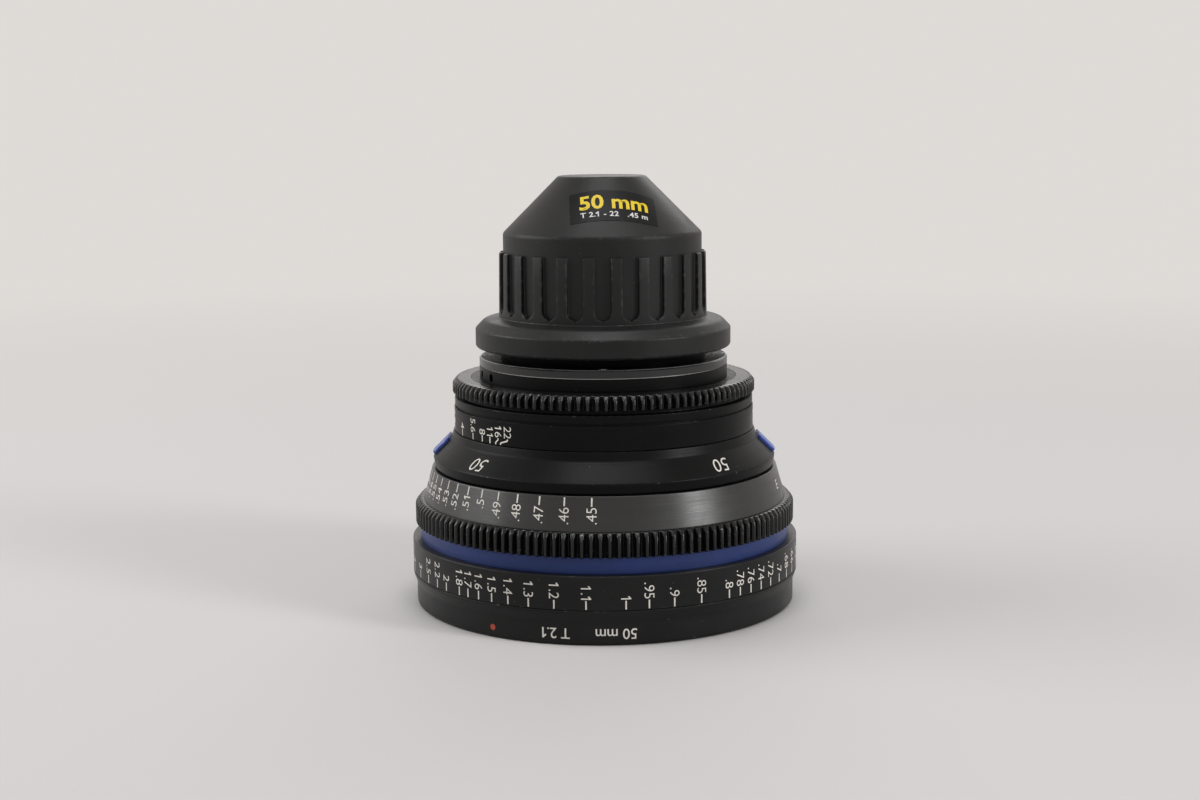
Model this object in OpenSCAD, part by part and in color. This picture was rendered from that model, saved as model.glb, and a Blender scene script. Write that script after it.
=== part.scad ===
// Cinema prime lens standing on its front ring, rear cap fitted.
// The optical axis is +Z, pointing to the rear; z = 0 is the front face.
// Angles called phi are seen from above: 0 faces -Y, positive turns towards +X.

/* [Front ring] */
// Step from the barrel's radius in to the front ring's lower band
front_step = 1; // [0.2:0.1:3]
// Height of the straight lower band
front_band_h = 6.6; // [6:0.1:8]
// Height of the taper from the band up to the barrel
front_taper_h = 2.6; // [2:0.1:4]
// Height of the full-width lip on top of the taper
front_lip_h = 0.7; // [0.4:0.1:2]
// Wall between the front ring's band and its accessory bore
filter_wall = 8.5; // [7:0.1:9.2]
// Depth of the accessory bore
filter_depth = 4.5; // [3.5:0.1:5]
// Thickness of the web that carries the barrel
front_web_t = 2.5; // [2:0.1:3.5]
// Width of that web
front_web_w = 5.5; // [4.5:0.1:7.5]

/* [Focus rings] */
// Radius of the barrel at the distance scale
barrel_r = 57; // [56.9:0.1:60]
// Height of the front distance scale ring
scale_ring_h = 9.45; // [8:0.05:12]
// Step from the barrel's radius in to the colour ring
colour_step = 2.4; // [1:0.1:3]
// Height of the colour ring
colour_ring_h = 4.6; // [3.5:0.1:6]
// Step from the barrel's radius in to the tips of the focus gear
gear_step = 1; // [0.4:0.1:2]
// Height of the focus gear
focus_gear_h = 6.8; // [6:0.1:9]
// Step from the barrel's radius in to the foot of the focus ring's cone
cone_step = 3.5; // [2.8:0.1:4]
// Step from the foot of that cone in to its top
cone_in = 2.7; // [1.5:0.1:3.1]
// Height of the focus ring's cone
focus_cone_h = 9.3; // [8:0.1:12]
// Turn of the focus ring from its near stop to its far stop, degrees
focus_turn = 300; // [270:1:300]
// Part of that turn that lies below the position shown, degrees
focus_turn_near = 94; // [60:1:150]
// Travel of the optical core over the whole turn
focus_travel = 7.3; // [6.5:0.1:7.4]

/* [Gear teeth] */
// Module of both gears
gear_module = 0.8; // [0.78:0.01:0.82]
// Height of the chamfer at the top of each gear
gear_chamfer_h = 1.4; // [0.8:0.1:2]
// Depth of that chamfer
gear_chamfer_d = 1.2; // [0.8:0.1:1.6]

/* [Barrel] */
// Wall of the distance scale ring
scale_ring_wall = 4.55; // [3.5:0.05:5]
// Wall of the guide barrel
guide_wall = 4.3; // [4:0.1:4.5]
// Wall of the cam sleeve
cam_wall = 2.6; // [2.5:0.1:2.9]
// Wall of the focus ring's sleeve
focus_wall = 1.35; // [1:0.05:1.6]
// Step from the top of the focus ring's cone in to the index barrel
index_step = 0.8; // [0.4:0.1:1.2]
// Flare of the index barrel's foot band
index_flare = 0.4; // [0:0.1:1.5]
// Step from the index barrel's top out to the head of its cone
index_head = 0.7; // [0.1:0.1:2.7]
// Step from the iris ring's band out to the index barrel's top
index_lip = 0.3; // [0.1:0.1:1]
// Height of the index barrel's lower band
index_band_h = 2.7; // [2:0.1:4]
// Height of the index barrel's cone
index_cone_h = 5.4; // [4.5:0.1:7]
// Height of the index barrel's upper band
index_top_h = 2.4; // [2:0.1:4]
// Thickness of the floor inside the index barrel
index_floor_t = 2.5; // [2:0.1:3]
// Width of the two plates on the index barrel's cone
plate_w = 11; // [8:0.5:16]
// Length of those plates along the slope of the cone
plate_l = 6.6; // [4.6:0.1:6.8]
// Thickness of those plates
plate_t = 0.85; // [0.6:0.05:1.2]

/* [Iris ring] */
// Step from the iris ring's plain band out to its scale band
iris_band_step = 0.2; // [0:0.1:1.2]
// Height of the iris scale band
iris_band_h = 6.85; // [6:0.05:8]
// Height of the groove above the scale band
iris_groove_h = 0.7; // [0.4:0.1:1]
// Depth of that groove
iris_groove_d = 0.8; // [0.4:0.1:1.2]
// Step from the neck under the iris gear out to the plain band
iris_upper_step = 2.3; // [1.5:0.1:3.5]
// Height of the plain band above the groove
iris_upper_h = 2.2; // [1.6:0.1:3]
// Step from the gear's seat out to the neck under it
iris_neck_step = 2.55; // [2.05:0.05:3.05]
// Height of the neck under the iris gear
iris_neck_h = 1.3; // [1:0.1:2]
// Step from that neck out to the tips of the iris gear
iris_gear_step = 2.9; // [2.5:0.1:4.1]
// Height of the iris gear
iris_gear_h = 4.1; // [3.6:0.1:5.2]
// Turn of the iris ring towards its closed stop, degrees
iris_close_turn = 57; // [40:1:57]
// Turn of the iris ring towards its open stop, degrees
iris_open_turn = 13; // [8:1:13]

/* [Rear barrel and mount] */
// Room between the fork and the rear barrel's tube
fork_room = 0.4; // [0.2:0.1:1]
// Wall of the rear barrel's tube
rear_tube_wall = 2.3; // [2:0.1:2.4]
// Step from the rear barrel's tube out to its flange
rear_flange_step = 1.5; // [1.3:0.1:3.1]
// Height of the rear flange
rear_flange_h = 3.5; // [3:0.1:4.2]
// Thickness of the mount shim
shim_t = 0.2; // [0.1:0.05:0.5]
// Height of the mount's base flange
mount_base_h = 2.3; // [2:0.1:3]
// Height of the mount's neck up to the tabs
mount_neck_h = 4.5; // [4.3:0.1:6]
// Step from the spigot out to the mount's neck
mount_neck_step = 3; // [2.5:0.1:3.4]
// Reach of the tabs beyond the mount's neck
mount_tab_w = 3; // [2.8:0.1:3.2]
// Thickness of the mount's tabs
mount_tab_h = 3; // [2.5:0.1:3.4]
// Width of each tab, degrees
mount_tab_angle = 50; // [44:1:54]
// Radius of the spigot behind the mounting face
spigot_r = 27; // [26.6:0.1:27.2]
// Length of the spigot behind the mounting face
spigot_h = 17; // [14:0.5:20]
// Wall of the spigot
spigot_wall = 3; // [2.4:0.1:3.6]

/* [Rear cap] */
// Wall of the cap's rim
cap_rim_wall = 3.8; // [3.4:0.1:5.4]
// Height of the rim's straight side
cap_rim_h = 5.5; // [5:0.1:7]
// Wall of the cap at the foot of its grip
cap_grip_wall = 2.45; // [2.3:0.05:3.5]
// Step in from the foot of the grip to its top
cap_draft = 0.25; // [0.05:0.05:0.45]
// Height of the grip
cap_grip_h = 18.8; // [14:0.1:21]
// Wall of the cap at the neck above the grip
cap_neck_wall = 0.98; // [0.8:0.02:1.2]
// Height of the neck above the grip
cap_neck_h = 5.5; // [4:0.1:8]
// Radius of the flat top
cap_top_r = 12.63; // [10:0.01:16]
// Wall of the cap behind the cone and the top
cap_wall = 2; // [1.6:0.1:2.4]
// Number of slots round the grip
cap_slots = 24; // [18:1:26]
// Width of each grip slot
cap_slot_w = 4.8; // [4:0.1:5]
// Wall of the cap behind the slots
cap_slot_wall = 1; // [0.8:0.1:1.4]

/* [Optical core] */
// Wall of the core carrier's guide
carrier_wall = 2.4; // [2:0.1:3]
// Height of the core carrier's guide
carrier_h = 22.3; // [20:0.1:23]
// Thickness of the core carrier's web
carrier_web_t = 2.5; // [2:0.1:3]
// Step from the iris housing in to the sleeve
sleeve_step = 1.3; // [0.5:0.1:1.7]
// Height of the inner sleeve above the web
sleeve_h = 19.9; // [19:0.1:20.4]
// Step from the sleeve in to the front cell
front_cell_step = 4.05; // [3.8:0.05:5]
// Radius of the cam rollers
roller_r = 1; // [0.8:0.05:1.1]
// Wall of the front baffle
baffle_wall = 0.8; // [0.6:0.1:1.2]
// Radius of the opening at the back of the front baffle
baffle_top_r = 27; // [25:0.1:29]
// Radius of the rear cell's barrel
rear_cell_r = 22; // [20:0.1:22.5]

/* [Iris] */
// Number of iris blades
iris_blades = 14; // [10:1:14]
// Radius of the circle of blade pivots
blade_pivot_r = 26; // [25.8:0.1:26.2]
// Thickness of a blade
blade_t = 0.1; // [0.08:0.01:0.11]
// Inner radius of a blade's band
blade_in_r = 15; // [14.6:0.1:15.4]
// Outer radius of a blade's band
blade_out_r = 21.5; // [20.5:0.1:22]
// Sweep of a blade's band, degrees
blade_sweep = 125; // [100:1:130]
// Turn of the blades from concentric to the position shown, degrees
blade_rest = 13.84; // [12:0.01:14]
// Turn of a blade for each degree of the iris ring
blade_ratio = 0.301; // [0.28:0.001:0.301]
// Distance from a blade's pivot to its drive pin
blade_arm = 8.5; // [8:0.1:8.7]
// Room between the blades' pivots and the iris housing's wall
pivot_room = 3.65; // [3.55:0.05:3.75]
// Thickness of the fork plate that turns the iris
fork_t = 1.8; // [1.4:0.1:2]
// Radius of the pin between the iris ring and the fork
drive_pin_r = 1; // [0.8:0.05:1.1]

/* [Hidden] */
$fn = 120;
// Clearances
running_gap = 0.15;
fit_gap = 0.1;
seat_gap = 0.05;
free_gap = 0.2;
// How far a cutting shape reaches past the face that it cuts
over = 1;
// Colours
black = "#222326";
dark = "#16171a";
blue = "#32447d";
steel = "#b9bcc0";
glass = "#9fb8c8";

// Levels along the axis, from the front face to the top of the cap
front_web_top = filter_depth + front_web_t;
front_top = front_band_h + front_taper_h + front_lip_h;
focus_z = front_top + running_gap;
scale_top = focus_z + scale_ring_h;
colour_top = scale_top + colour_ring_h;
focus_gear_top = colour_top + focus_gear_h;
cone_top = focus_gear_top + focus_cone_h;
index_gap = 0.4;
index_z = cone_top + index_gap;
index_cone_z = index_z + index_band_h;
index_band_z = index_cone_z + index_cone_h;
index_top = index_band_z + index_top_h;
index_skirt_h = 3.4;
index_floor_z = index_z + index_skirt_h;
index_floor_top = index_floor_z + index_floor_t;
iris_z = index_top + running_gap;
iris_band_top = iris_z + iris_band_h;
iris_groove_top = iris_band_top + iris_groove_h;
iris_upper_top = iris_groove_top + iris_upper_h;
iris_neck_top = iris_upper_top + iris_neck_h;
iris_top = iris_neck_top + iris_gear_h;
rear_flange_z = iris_top + fit_gap;
rear_top = rear_flange_z + rear_flange_h;
mount_z = rear_top + shim_t;
mount_base_top = mount_z + mount_base_h;
mount_tab_z = mount_base_top + mount_neck_h;
mount_face_z = mount_tab_z + mount_tab_h;
spigot_top = mount_face_z + spigot_h;

// Radii from the guide bore outwards
// Radii of the barrel, from the scale ring inwards
front_r = barrel_r - front_step;
filter_r = front_r - filter_wall;
front_web_r = filter_r - front_web_w;
colour_ring_r = barrel_r - colour_step;
focus_teeth = round(2 * (barrel_r - gear_step) / gear_module) - 2;
focus_cone_r1 = barrel_r - cone_step;
focus_cone_r2 = focus_cone_r1 - cone_in;
ring_in_r = barrel_r - scale_ring_wall;
focus_out_r = ring_in_r - seat_gap;
focus_in_r = focus_out_r - focus_wall;
cam_out_r = focus_in_r - seat_gap;
cam_in_r = cam_out_r - cam_wall;
guide_out_r = cam_in_r - fit_gap;
guide_r = guide_out_r - guide_wall;
carrier_r = guide_r - fit_gap;
// Radii of the iris and the rear barrel, from the blades' pivots outwards
housing_wall = 0.65;
housing_in_r = blade_pivot_r + pivot_room;
housing_r = housing_in_r + housing_wall;
sleeve_r = housing_r - sleeve_step;
front_cell_r = sleeve_r - front_cell_step;
drive_ring_w = 1.4;
drive_ring_in_r = blade_pivot_r - drive_ring_w;
fork_in_r = housing_r + fit_gap;
fork_out_r = fork_in_r + fork_t;
rear_tube_in_r = fork_out_r + fork_room;
rear_tube_r = rear_tube_in_r + rear_tube_wall;
rear_foot_w = 4.6;
rear_foot_r = rear_tube_r + rear_foot_w;
rear_flange_r = rear_tube_r + rear_flange_step;
iris_in_r = rear_tube_r + fit_gap;
iris_hub_wall = 3.95;
iris_hub_r = iris_in_r + iris_hub_wall;
iris_neck_r = iris_hub_r + iris_neck_step;
iris_upper_r = iris_neck_r + iris_upper_step;
iris_band_r = iris_upper_r + iris_band_step;
iris_teeth = round(2 * (iris_neck_r + iris_gear_step) / gear_module) - 2;
// Radii of the index barrel, between the two
index_r1 = focus_cone_r2 - index_step;
index_r2 = index_r1 + index_flare;
index_r4 = iris_band_r + index_lip;
index_r3 = index_r4 + index_head;
// Radii of the mount and the cap, from the spigot
mount_bore_r = spigot_r - spigot_wall;
mount_neck_r = spigot_r + mount_neck_step;
mount_tab_r = mount_neck_r + mount_tab_w;
cap_room = 0.6;
cap_bore_room = 1;
cap_bore_r = spigot_r + cap_bore_room;
cap_rim_bore_r = mount_tab_r + cap_room;
cap_rim_r = cap_rim_bore_r + cap_rim_wall;
cap_slope_w = 6.85;
cap_slope_r = cap_bore_r + cap_slope_w;
cap_grip_r1 = cap_bore_r + cap_grip_wall;
cap_grip_r2 = cap_grip_r1 - cap_draft;
cap_neck_r = cap_bore_r + cap_neck_wall;
cap_slot_r = cap_bore_r + cap_slot_wall;

// Focus travel and the levels of the optical core, hung from the rear flange
travel_near = focus_travel * focus_turn_near / focus_turn;
travel_far = focus_travel - travel_near;
cam_rise = focus_travel / focus_turn;
stop_depth = 10.55;
stop_z = rear_top - stop_depth;
blade_pitch = blade_t + seat_gap;
blade_stack = iris_blades * blade_pitch;
blade_z = stop_z - blade_stack / 2;
housing_floor_t = 2;
housing_floor_top = blade_z - free_gap;
housing_z = housing_floor_top - housing_floor_t;
drive_ring_t = 1.2;
drive_ring_z = blade_z + blade_stack + free_gap;
drive_ring_top = drive_ring_z + drive_ring_t;
cover_t = 1;
cover_z = drive_ring_top + free_gap;
cover_top = cover_z + cover_t;
drive_pin_rise = 0.8;
drive_pin_z = housing_z + drive_pin_rise;
carrier_web_top = housing_z - sleeve_h;
carrier_web_z = carrier_web_top - carrier_web_t;
carrier_z = carrier_web_top - carrier_h;
roller_rise = 8;
roller_z = carrier_z + roller_rise;
roller_count = 3;
roller_room = roller_r + fit_gap;
cam_end_wall = 4;
cam_z = roller_z - travel_near - roller_room - cam_end_wall;
cam_top = roller_z + travel_far + roller_room + cam_end_wall;
cam_floor_t = 0.6;
cam_floor_r = cam_out_r - cam_floor_t;

// Small screws, shared by all the screwed joints
screw_r = 0.8;
screw_head_r = 1.5;
screw_head_h = 1.2;
screw_hole_r = screw_r + seat_gap;
screw_seat_r = screw_head_r + fit_gap;
front_screws_n = 6;
front_screw_r = min(filter_r - screw_seat_r - free_gap, guide_r + guide_wall / 2);
front_screw_l = 6;
rear_screws_n = 6;
rear_screw_l = 4;
rear_foot_t = 2;
rear_foot_top = index_floor_top + rear_foot_t;
tabs = 4;
tab_phi = 45;
mount_screw_inset = 0.3;
mount_screw_r = (rear_flange_r + rear_tube_in_r) / 2 - mount_screw_inset;
mount_screw_l = 4.3;
mount_screw_z = mount_base_top - mount_screw_l;
cam_screw_r = 1;
cam_screw_rise = 1.8;
cam_screw_z = cam_z + cam_screw_rise;
housing_screw_l = 5;

// Iris ring
iris_sleeve_wall = 2;

// Iris drive
blade_step = 360 / iris_blades;
blade_arm_angle = -110.5;
blade_pin_r = 0.3;
pivot_pin_r = 0.45;
stop_hole_r = 13;
drive_ring_r = housing_in_r - fit_gap;
fork_phi = 150;
fork_w = 6;
fork_slot_room = 0.4;
fork_top = drive_pin_z + travel_near + drive_pin_r + fork_slot_room;
fork_tip = 1.2;
fork_z = drive_pin_z - travel_far - drive_pin_r - fork_tip;

// Glass elements: front vertex from the stop, thickness, front and rear radii, rim radius
glass_1 = [-22.95, 5, 42, 170, 20];
glass_2 = [-17.55, 5.5, 24, 45, 17];
glass_3 = [-10.45, 2, 75, 18, 12.5];
glass_4 = [8.85, 1.78, -17, 60, 12];
glass_5 = [10.65, 7, 60, -27, 12];
glass_6 = [18.15, 4.5, -100, -34, 14.5];
glass_7 = [23.15, 4.5, 70, -120, 15];

// Level of an element's front or rear face at a distance from the axis
function sag(r, rho) = r > 0 ? r - sqrt(r * r - rho * rho) : r + sqrt(r * r - rho * rho);
function front_face(g, rho) = stop_z + g[0] + sag(g[2], rho);
function rear_face(g, rho) = stop_z + g[0] + g[1] + sag(g[3], rho);

// Cells that hold the elements
cell_flange_w = 1.5;
cell_flange_t = 1.5;
cell_thread_r = 16;
retainer_w = 1.5;
retainer_r = glass_1[4] + retainer_w;
retainer_lip = 1;
retainer_z = front_face(glass_1, glass_1[4] - retainer_lip) - fit_gap;
rear_cell_lip = 1.1;
rear_cell_top = rear_face(glass_7, 0) + rear_cell_lip;

// Rear cap levels
cap_rim_drop = 4.7;
cap_z = mount_face_z - cap_rim_drop;
cap_rim_top = cap_z + cap_rim_h;
cap_seat_z = mount_face_z + seat_gap;
cap_edge = 0.6;
cap_slope_h = 2.6;
cap_slope_z = cap_rim_top + cap_slope_h;
cap_foot_h = 3.3;
cap_grip_z = cap_rim_top + cap_foot_h;
cap_grip_top = cap_grip_z + cap_grip_h;
cap_cone_z = cap_grip_top + cap_neck_h;
cap_top = cap_cone_z + cap_neck_r - cap_top_r;
cap_lug_angle = 30;
cap_lug_h = 1.2;
cap_lug_d = 2.6;
cap_lug_z = cap_z + free_gap;

function blade_name(i) = str("iris_blade_", i < 9 ? "0" : "", i + 1);

// A shape turned about the axis, from its half section [radius, level]
module turned(section) rotate_extrude() polygon(section);

// A plain tube between two levels
module tube(r_in, r_out, z0, z1) {
    difference() {
        translate([0, 0, z0]) cylinder(r = r_out, h = z1 - z0);
        translate([0, 0, z0 - over]) cylinder(r = r_in, h = z1 - z0 + 2 * over);
    }
}

// Children placed on a circle at one angle phi
module at_phi(phi, r = 0) rotate([0, 0, phi - 90]) translate([r, 0, 0]) children();

// Children repeated evenly round a circle
module round_circle(count, r, phi = 0) {
    for (i = [0 : count - 1]) at_phi(phi + i * 360 / count, r) children();
}

// A wedge of the plane between two angles, wide enough to cut any ring
module wedge(phi_from, phi_to, reach = 60) {
    steps = ceil((phi_to - phi_from) / 15);
    function rim(i) = phi_from - 90 + (phi_to - phi_from) * i / steps;
    polygon(concat([[0, 0]], [for (i = [0 : steps]) reach * [cos(rim(i)), sin(rim(i))]]));
}

// A piece of a tube between two angles
module tube_sector(r_in, r_out, z0, z1, phi_from, phi_to) {
    intersection() {
        tube(r_in, r_out, z0, z1);
        translate([0, 0, z0 - over]) linear_extrude(z1 - z0 + 2 * over) wedge(phi_from, phi_to);
    }
}

// A pin along a radius
module radial_pin(r, r_from, r_to, z) {
    translate([r_from, 0, z]) rotate([0, 90, 0]) cylinder(r = r, h = r_to - r_from, $fn = 48);
}

// A small socket-head screw, head up, its head's top at level z
module screw(z, length) {
    difference() {
        union() {
            translate([0, 0, z - screw_head_h]) cylinder(r = screw_head_r, h = screw_head_h, $fn = 48);
            translate([0, 0, z - length]) cylinder(r = screw_r, h = length - screw_head_h / 2, $fn = 48);
        }
        translate([0, 0, z - screw_head_h / 2]) cylinder(r = screw_r, h = screw_head_h, $fn = 6);
    }
}

// The hole that such a screw passes: its head's seat and its shank
module screw_hole(z, length) {
    translate([0, 0, z - screw_head_h]) cylinder(r = screw_seat_r, h = screw_head_h + over, $fn = 48);
    translate([0, 0, z - length]) cylinder(r = screw_hole_r, h = length, $fn = 48);
}

// Involute-like gear teeth: straight flanks at 20 degrees through the pitch circle
function tooth_half(r, pitch_r) = (PI * gear_module / 4 - (r - pitch_r) * tan(20)) / r * 180 / PI;
function polar(r, a) = r * [cos(a), sin(a)];
function gear_tip(teeth) = gear_module * (teeth / 2 + 1);
function gear_outline(teeth) = let (
    pitch_r = gear_module * teeth / 2,
    tip = pitch_r + gear_module,
    root = pitch_r - 1.25 * gear_module,
    root_half = tooth_half(root, pitch_r),
    tip_half = tooth_half(tip, pitch_r)
) [for (i = [0 : teeth - 1], c = [0 : 3]) let (a = 360 * i / teeth)
    c == 0 ? polar(root, a - root_half) : c == 1 ? polar(tip, a - tip_half) :
    c == 2 ? polar(tip, a + tip_half) : polar(root, a + root_half)];

// A toothed ring with a chamfer round its upper edge
module toothed_ring(teeth, bore_r, z, h) {
    tip = gear_tip(teeth);
    clear_r = tip + 0.02;
    intersection() {
        translate([0, 0, z]) linear_extrude(h) polygon(gear_outline(teeth));
        turned([
            [bore_r, z], [clear_r, z], [clear_r, z + h - gear_chamfer_h],
            [tip - gear_chamfer_d, z + h], [bore_r, z + h]
        ]);
    }
}

// One glass element: a rim cylinder bounded by two spheres about the axis
module element(shape) {
    z0 = stop_z + shape[0];
    z1 = z0 + shape[1];
    r1 = shape[2];
    r2 = shape[3];
    reach = 12;
    module ball(vertex, r) translate([0, 0, vertex + r]) sphere(r = abs(r), $fn = 400);
    module rim() translate([0, 0, z0 - reach]) cylinder(r = shape[4], h = shape[1] + 2 * reach);
    color(glass) {
        if (r1 > 0 && r2 > 0) {
            difference() {
                intersection() {
                    rim();
                    ball(z0, r1);
                }
                ball(z1, r2);
            }
        }
        if (r1 > 0 && r2 < 0) {
            intersection() {
                rim();
                ball(z0, r1);
                ball(z1, r2);
            }
        }
        if (r1 < 0 && r2 < 0) {
            difference() {
                intersection() {
                    rim();
                    ball(z1, r2);
                }
                ball(z0, r1);
            }
        }
        if (r1 < 0 && r2 > 0) {
            difference() {
                translate([0, 0, z0 - reach / 2]) cylinder(r = shape[4], h = shape[1] + reach);
                ball(z0, r1);
                ball(z1, r2);
            }
        }
    }
}

// Fixed front

module front_ring() {
    chamfer = 0.6;
    pocket_r = guide_out_r + free_gap;
    color(black) difference() {
        turned([
            [filter_r, 0], [front_r - chamfer, 0], [front_r, chamfer], [front_r, front_band_h],
            [barrel_r, front_band_h + front_taper_h], [barrel_r, front_top], [pocket_r, front_top],
            [pocket_r, front_web_top], [front_web_r, front_web_top], [front_web_r, filter_depth],
            [filter_r, filter_depth]
        ]);
        front_screw_places() screw_turned_over() screw_hole(screw_head_h, front_web_t + over);
    }
}

// The front screws enter from the front face of the web, heads down
module front_screw_places() round_circle(front_screws_n, front_screw_r, 30) children();
module screw_turned_over() {
    translate([0, 0, filter_depth]) mirror([0, 0, 1]) translate([0, 0, -screw_head_h]) children();
}

module front_screws() {
    color(steel) front_screw_places() screw_turned_over() screw(screw_head_h, front_screw_l);
}

module front_baffle() {
    rim_r = guide_r - fit_gap;
    foot_t = 1.2;
    foot_top = front_web_top + foot_t;
    inset = 1;
    throat_r = front_web_r - inset;
    top_z = carrier_web_z - travel_near - inset;
    ridges = 12;
    ridge_d = 0.35;
    function along(t) = [throat_r + (baffle_top_r - throat_r) * t, foot_top + (top_z - foot_top) * t];
    color(dark) turned(concat(
        [[rim_r, front_web_top], [rim_r, foot_top], along(0) + [baffle_wall + ridge_d, 0]],
        [along(1) + [baffle_wall + ridge_d, 0]],
        [for (i = [ridges : -1 : 1], c = [0, 1])
            along((i - c) / ridges) + [c * ridge_d, 0]],
        [[throat_r, front_web_top]]
    ));
}

module main_barrel() {
    color(black) difference() {
        tube(guide_r, guide_out_r, front_web_top, index_floor_z);
        round_circle(roller_count, guide_r - over)
            translate([0, -roller_room, roller_z - travel_near - roller_room - fit_gap])
                cube([guide_wall + 2 * over, 2 * roller_room, focus_travel + 2 * (roller_room + fit_gap)]);
        front_screw_places() screw_turned_over()
            translate([0, 0, screw_head_h - front_screw_l - free_gap])
                cylinder(r = screw_hole_r, h = front_screw_l, $fn = 48);
    }
}

module index_barrel() {
    skirt_r = guide_out_r + seat_gap;
    ledge_room = 0.5;
    ledge_r = rear_foot_r + ledge_room;
    hole_r = rear_tube_in_r + 2 * free_gap;
    color(black) difference() {
        turned([
            [skirt_r, index_z], [index_r1, index_z], [index_r2, index_cone_z], [index_r3, index_band_z],
            [index_r4, index_top], [ledge_r, index_top], [ledge_r, index_floor_top],
            [hole_r, index_floor_top], [hole_r, index_floor_z], [skirt_r, index_floor_z]
        ]);
        rear_screw_places() screw_hole(rear_foot_top, rear_screw_l + free_gap);
    }
}

// Two thin plates that follow the index barrel's cone, one at each side
module index_plates() {
    slope = atan2(index_r2 - index_r3, index_cone_h);
    out = [cos(slope), sin(slope)];
    foot = [index_r2, index_cone_z];
    head = [index_r3, index_band_z];
    plate_rise = 0.52;
    along = [-sin(slope), cos(slope)];
    middle = foot + (plate_rise + plate_l / 2) * along;
    corner_r = 1;
    reach = 4;
    module plate() {
        translate([-plate_l / 2, corner_r - plate_w / 2]) square([plate_l, plate_w - 2 * corner_r]);
        translate([corner_r - plate_l / 2, -plate_w / 2]) square([plate_l - 2 * corner_r, plate_w]);
        for (x = [-1, 1], y = [-1, 1])
            translate([x * (plate_l / 2 - corner_r), y * (plate_w / 2 - corner_r)])
                circle(r = corner_r, $fn = 48);
    }
    color(blue) for (phi = [-90, 90]) intersection() {
        turned([
            foot + seat_gap * out, foot + (seat_gap + plate_t) * out,
            head + (seat_gap + plate_t) * out, head + seat_gap * out
        ]);
        at_phi(phi, middle[0]) translate([0, 0, middle[1]]) rotate([0, 90 - slope, 0])
            translate([0, 0, -reach]) linear_extrude(2 * reach) plate();
    }
}

// Fixed rear

module rear_screw_places() round_circle(rear_screws_n, (rear_foot_r + rear_tube_r) / 2, 15) children();

module rear_barrel() {
    slot_margin = 3;
    notch_phi = -75;
    notch_w = 2.2;
    notch_d = 1.1;
    notch_foot = 0.7;
    notch_h = 1.9;
    lock_hole_phi = -62;
    lock_hole_r = 1.2;
    lock_hole_up = 1.5;
    color(black) difference() {
        turned([
            [rear_tube_in_r, index_floor_top], [rear_foot_r, index_floor_top], [rear_foot_r, rear_foot_top],
            [rear_tube_r, rear_foot_top], [rear_tube_r, rear_flange_z], [rear_flange_r, rear_flange_z],
            [rear_flange_r, rear_top], [rear_tube_in_r, rear_top]
        ]);
        rear_screw_places() screw_hole(rear_foot_top, rear_screw_l + free_gap);
        translate([0, 0, drive_pin_z - drive_pin_r - free_gap]) linear_extrude(2 * (drive_pin_r + free_gap))
            wedge(fork_phi - iris_close_turn - slot_margin, fork_phi + iris_open_turn + slot_margin);
        mount_screw_places() translate([0, 0, mount_screw_z - free_gap])
            cylinder(r = screw_hole_r, h = rear_top - mount_screw_z + over, $fn = 48);
        at_phi(lock_hole_phi) radial_pin(lock_hole_r, rear_flange_r - notch_d, rear_flange_r + over,
            rear_flange_z + lock_hole_up);
        at_phi(notch_phi, rear_flange_r - notch_d)
            translate([0, -notch_w / 2, rear_flange_z + notch_foot])
                cube([notch_d + over, notch_w, notch_h]);
    }
}

module rear_barrel_screws() {
    color(steel) rear_screw_places() screw(rear_foot_top, rear_screw_l);
}

module mount_screw_places() round_circle(tabs, mount_screw_r, tab_phi + 45) children();

module mount_shim() {
    in_step = 0.5;
    out_step = 0.3;
    color(steel) difference() {
        tube(mount_bore_r + in_step, rear_flange_r - out_step, rear_top, mount_z);
        mount_screw_places() translate([0, 0, rear_top - over])
            cylinder(r = screw_hole_r, h = shim_t + 2 * over, $fn = 48);
    }
}

module breech_mount() {
    edge = 0.5;
    relief_d = 0.4;
    relief_h = 1.3;
    relief_r = spigot_r - relief_d;
    relief_z = mount_face_z + relief_h;
    notch_w = 3;
    notch_d = 1.5;
    color(steel) difference() {
        union() {
            turned([
                [mount_bore_r, mount_z], [rear_flange_r, mount_z], [rear_flange_r, mount_base_top - edge],
                [rear_flange_r - edge, mount_base_top], [mount_neck_r, mount_base_top],
                [mount_neck_r, mount_face_z], [relief_r, mount_face_z], [relief_r, relief_z],
                [spigot_r, relief_z], [spigot_r, spigot_top - edge], [spigot_r - edge, spigot_top],
                [mount_bore_r, spigot_top]
            ]);
            for (i = [0 : tabs - 1]) {
                mid = tab_phi + 90 * i;
                tube_sector(mount_neck_r - over, mount_tab_r, mount_tab_z, mount_face_z,
                    mid - mount_tab_angle / 2, mid + mount_tab_angle / 2);
            }
        }
        mount_screw_places() screw_hole(mount_base_top, mount_screw_l + free_gap);
        at_phi(tab_phi, mount_tab_r - notch_d) translate([0, -notch_w / 2, mount_tab_z - over])
            cube([notch_d + over, notch_w, mount_tab_h + 2 * over]);
    }
}

module mount_screws() {
    color(steel) mount_screw_places() screw(mount_base_top, mount_screw_l);
}

// Focus rings

module distance_scale_ring() {
    edge = 0.25;
    color(black) turned([
        [ring_in_r, focus_z], [barrel_r, focus_z], [barrel_r, scale_top - edge],
        [barrel_r - edge, scale_top], [ring_in_r, scale_top]
    ]);
}

module colour_ring() {
    color(blue) tube(ring_in_r, colour_ring_r, scale_top, colour_top);
}

module focus_gear_ring() {
    color(black) toothed_ring(focus_teeth, ring_in_r, colour_top, focus_gear_h);
}

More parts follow.
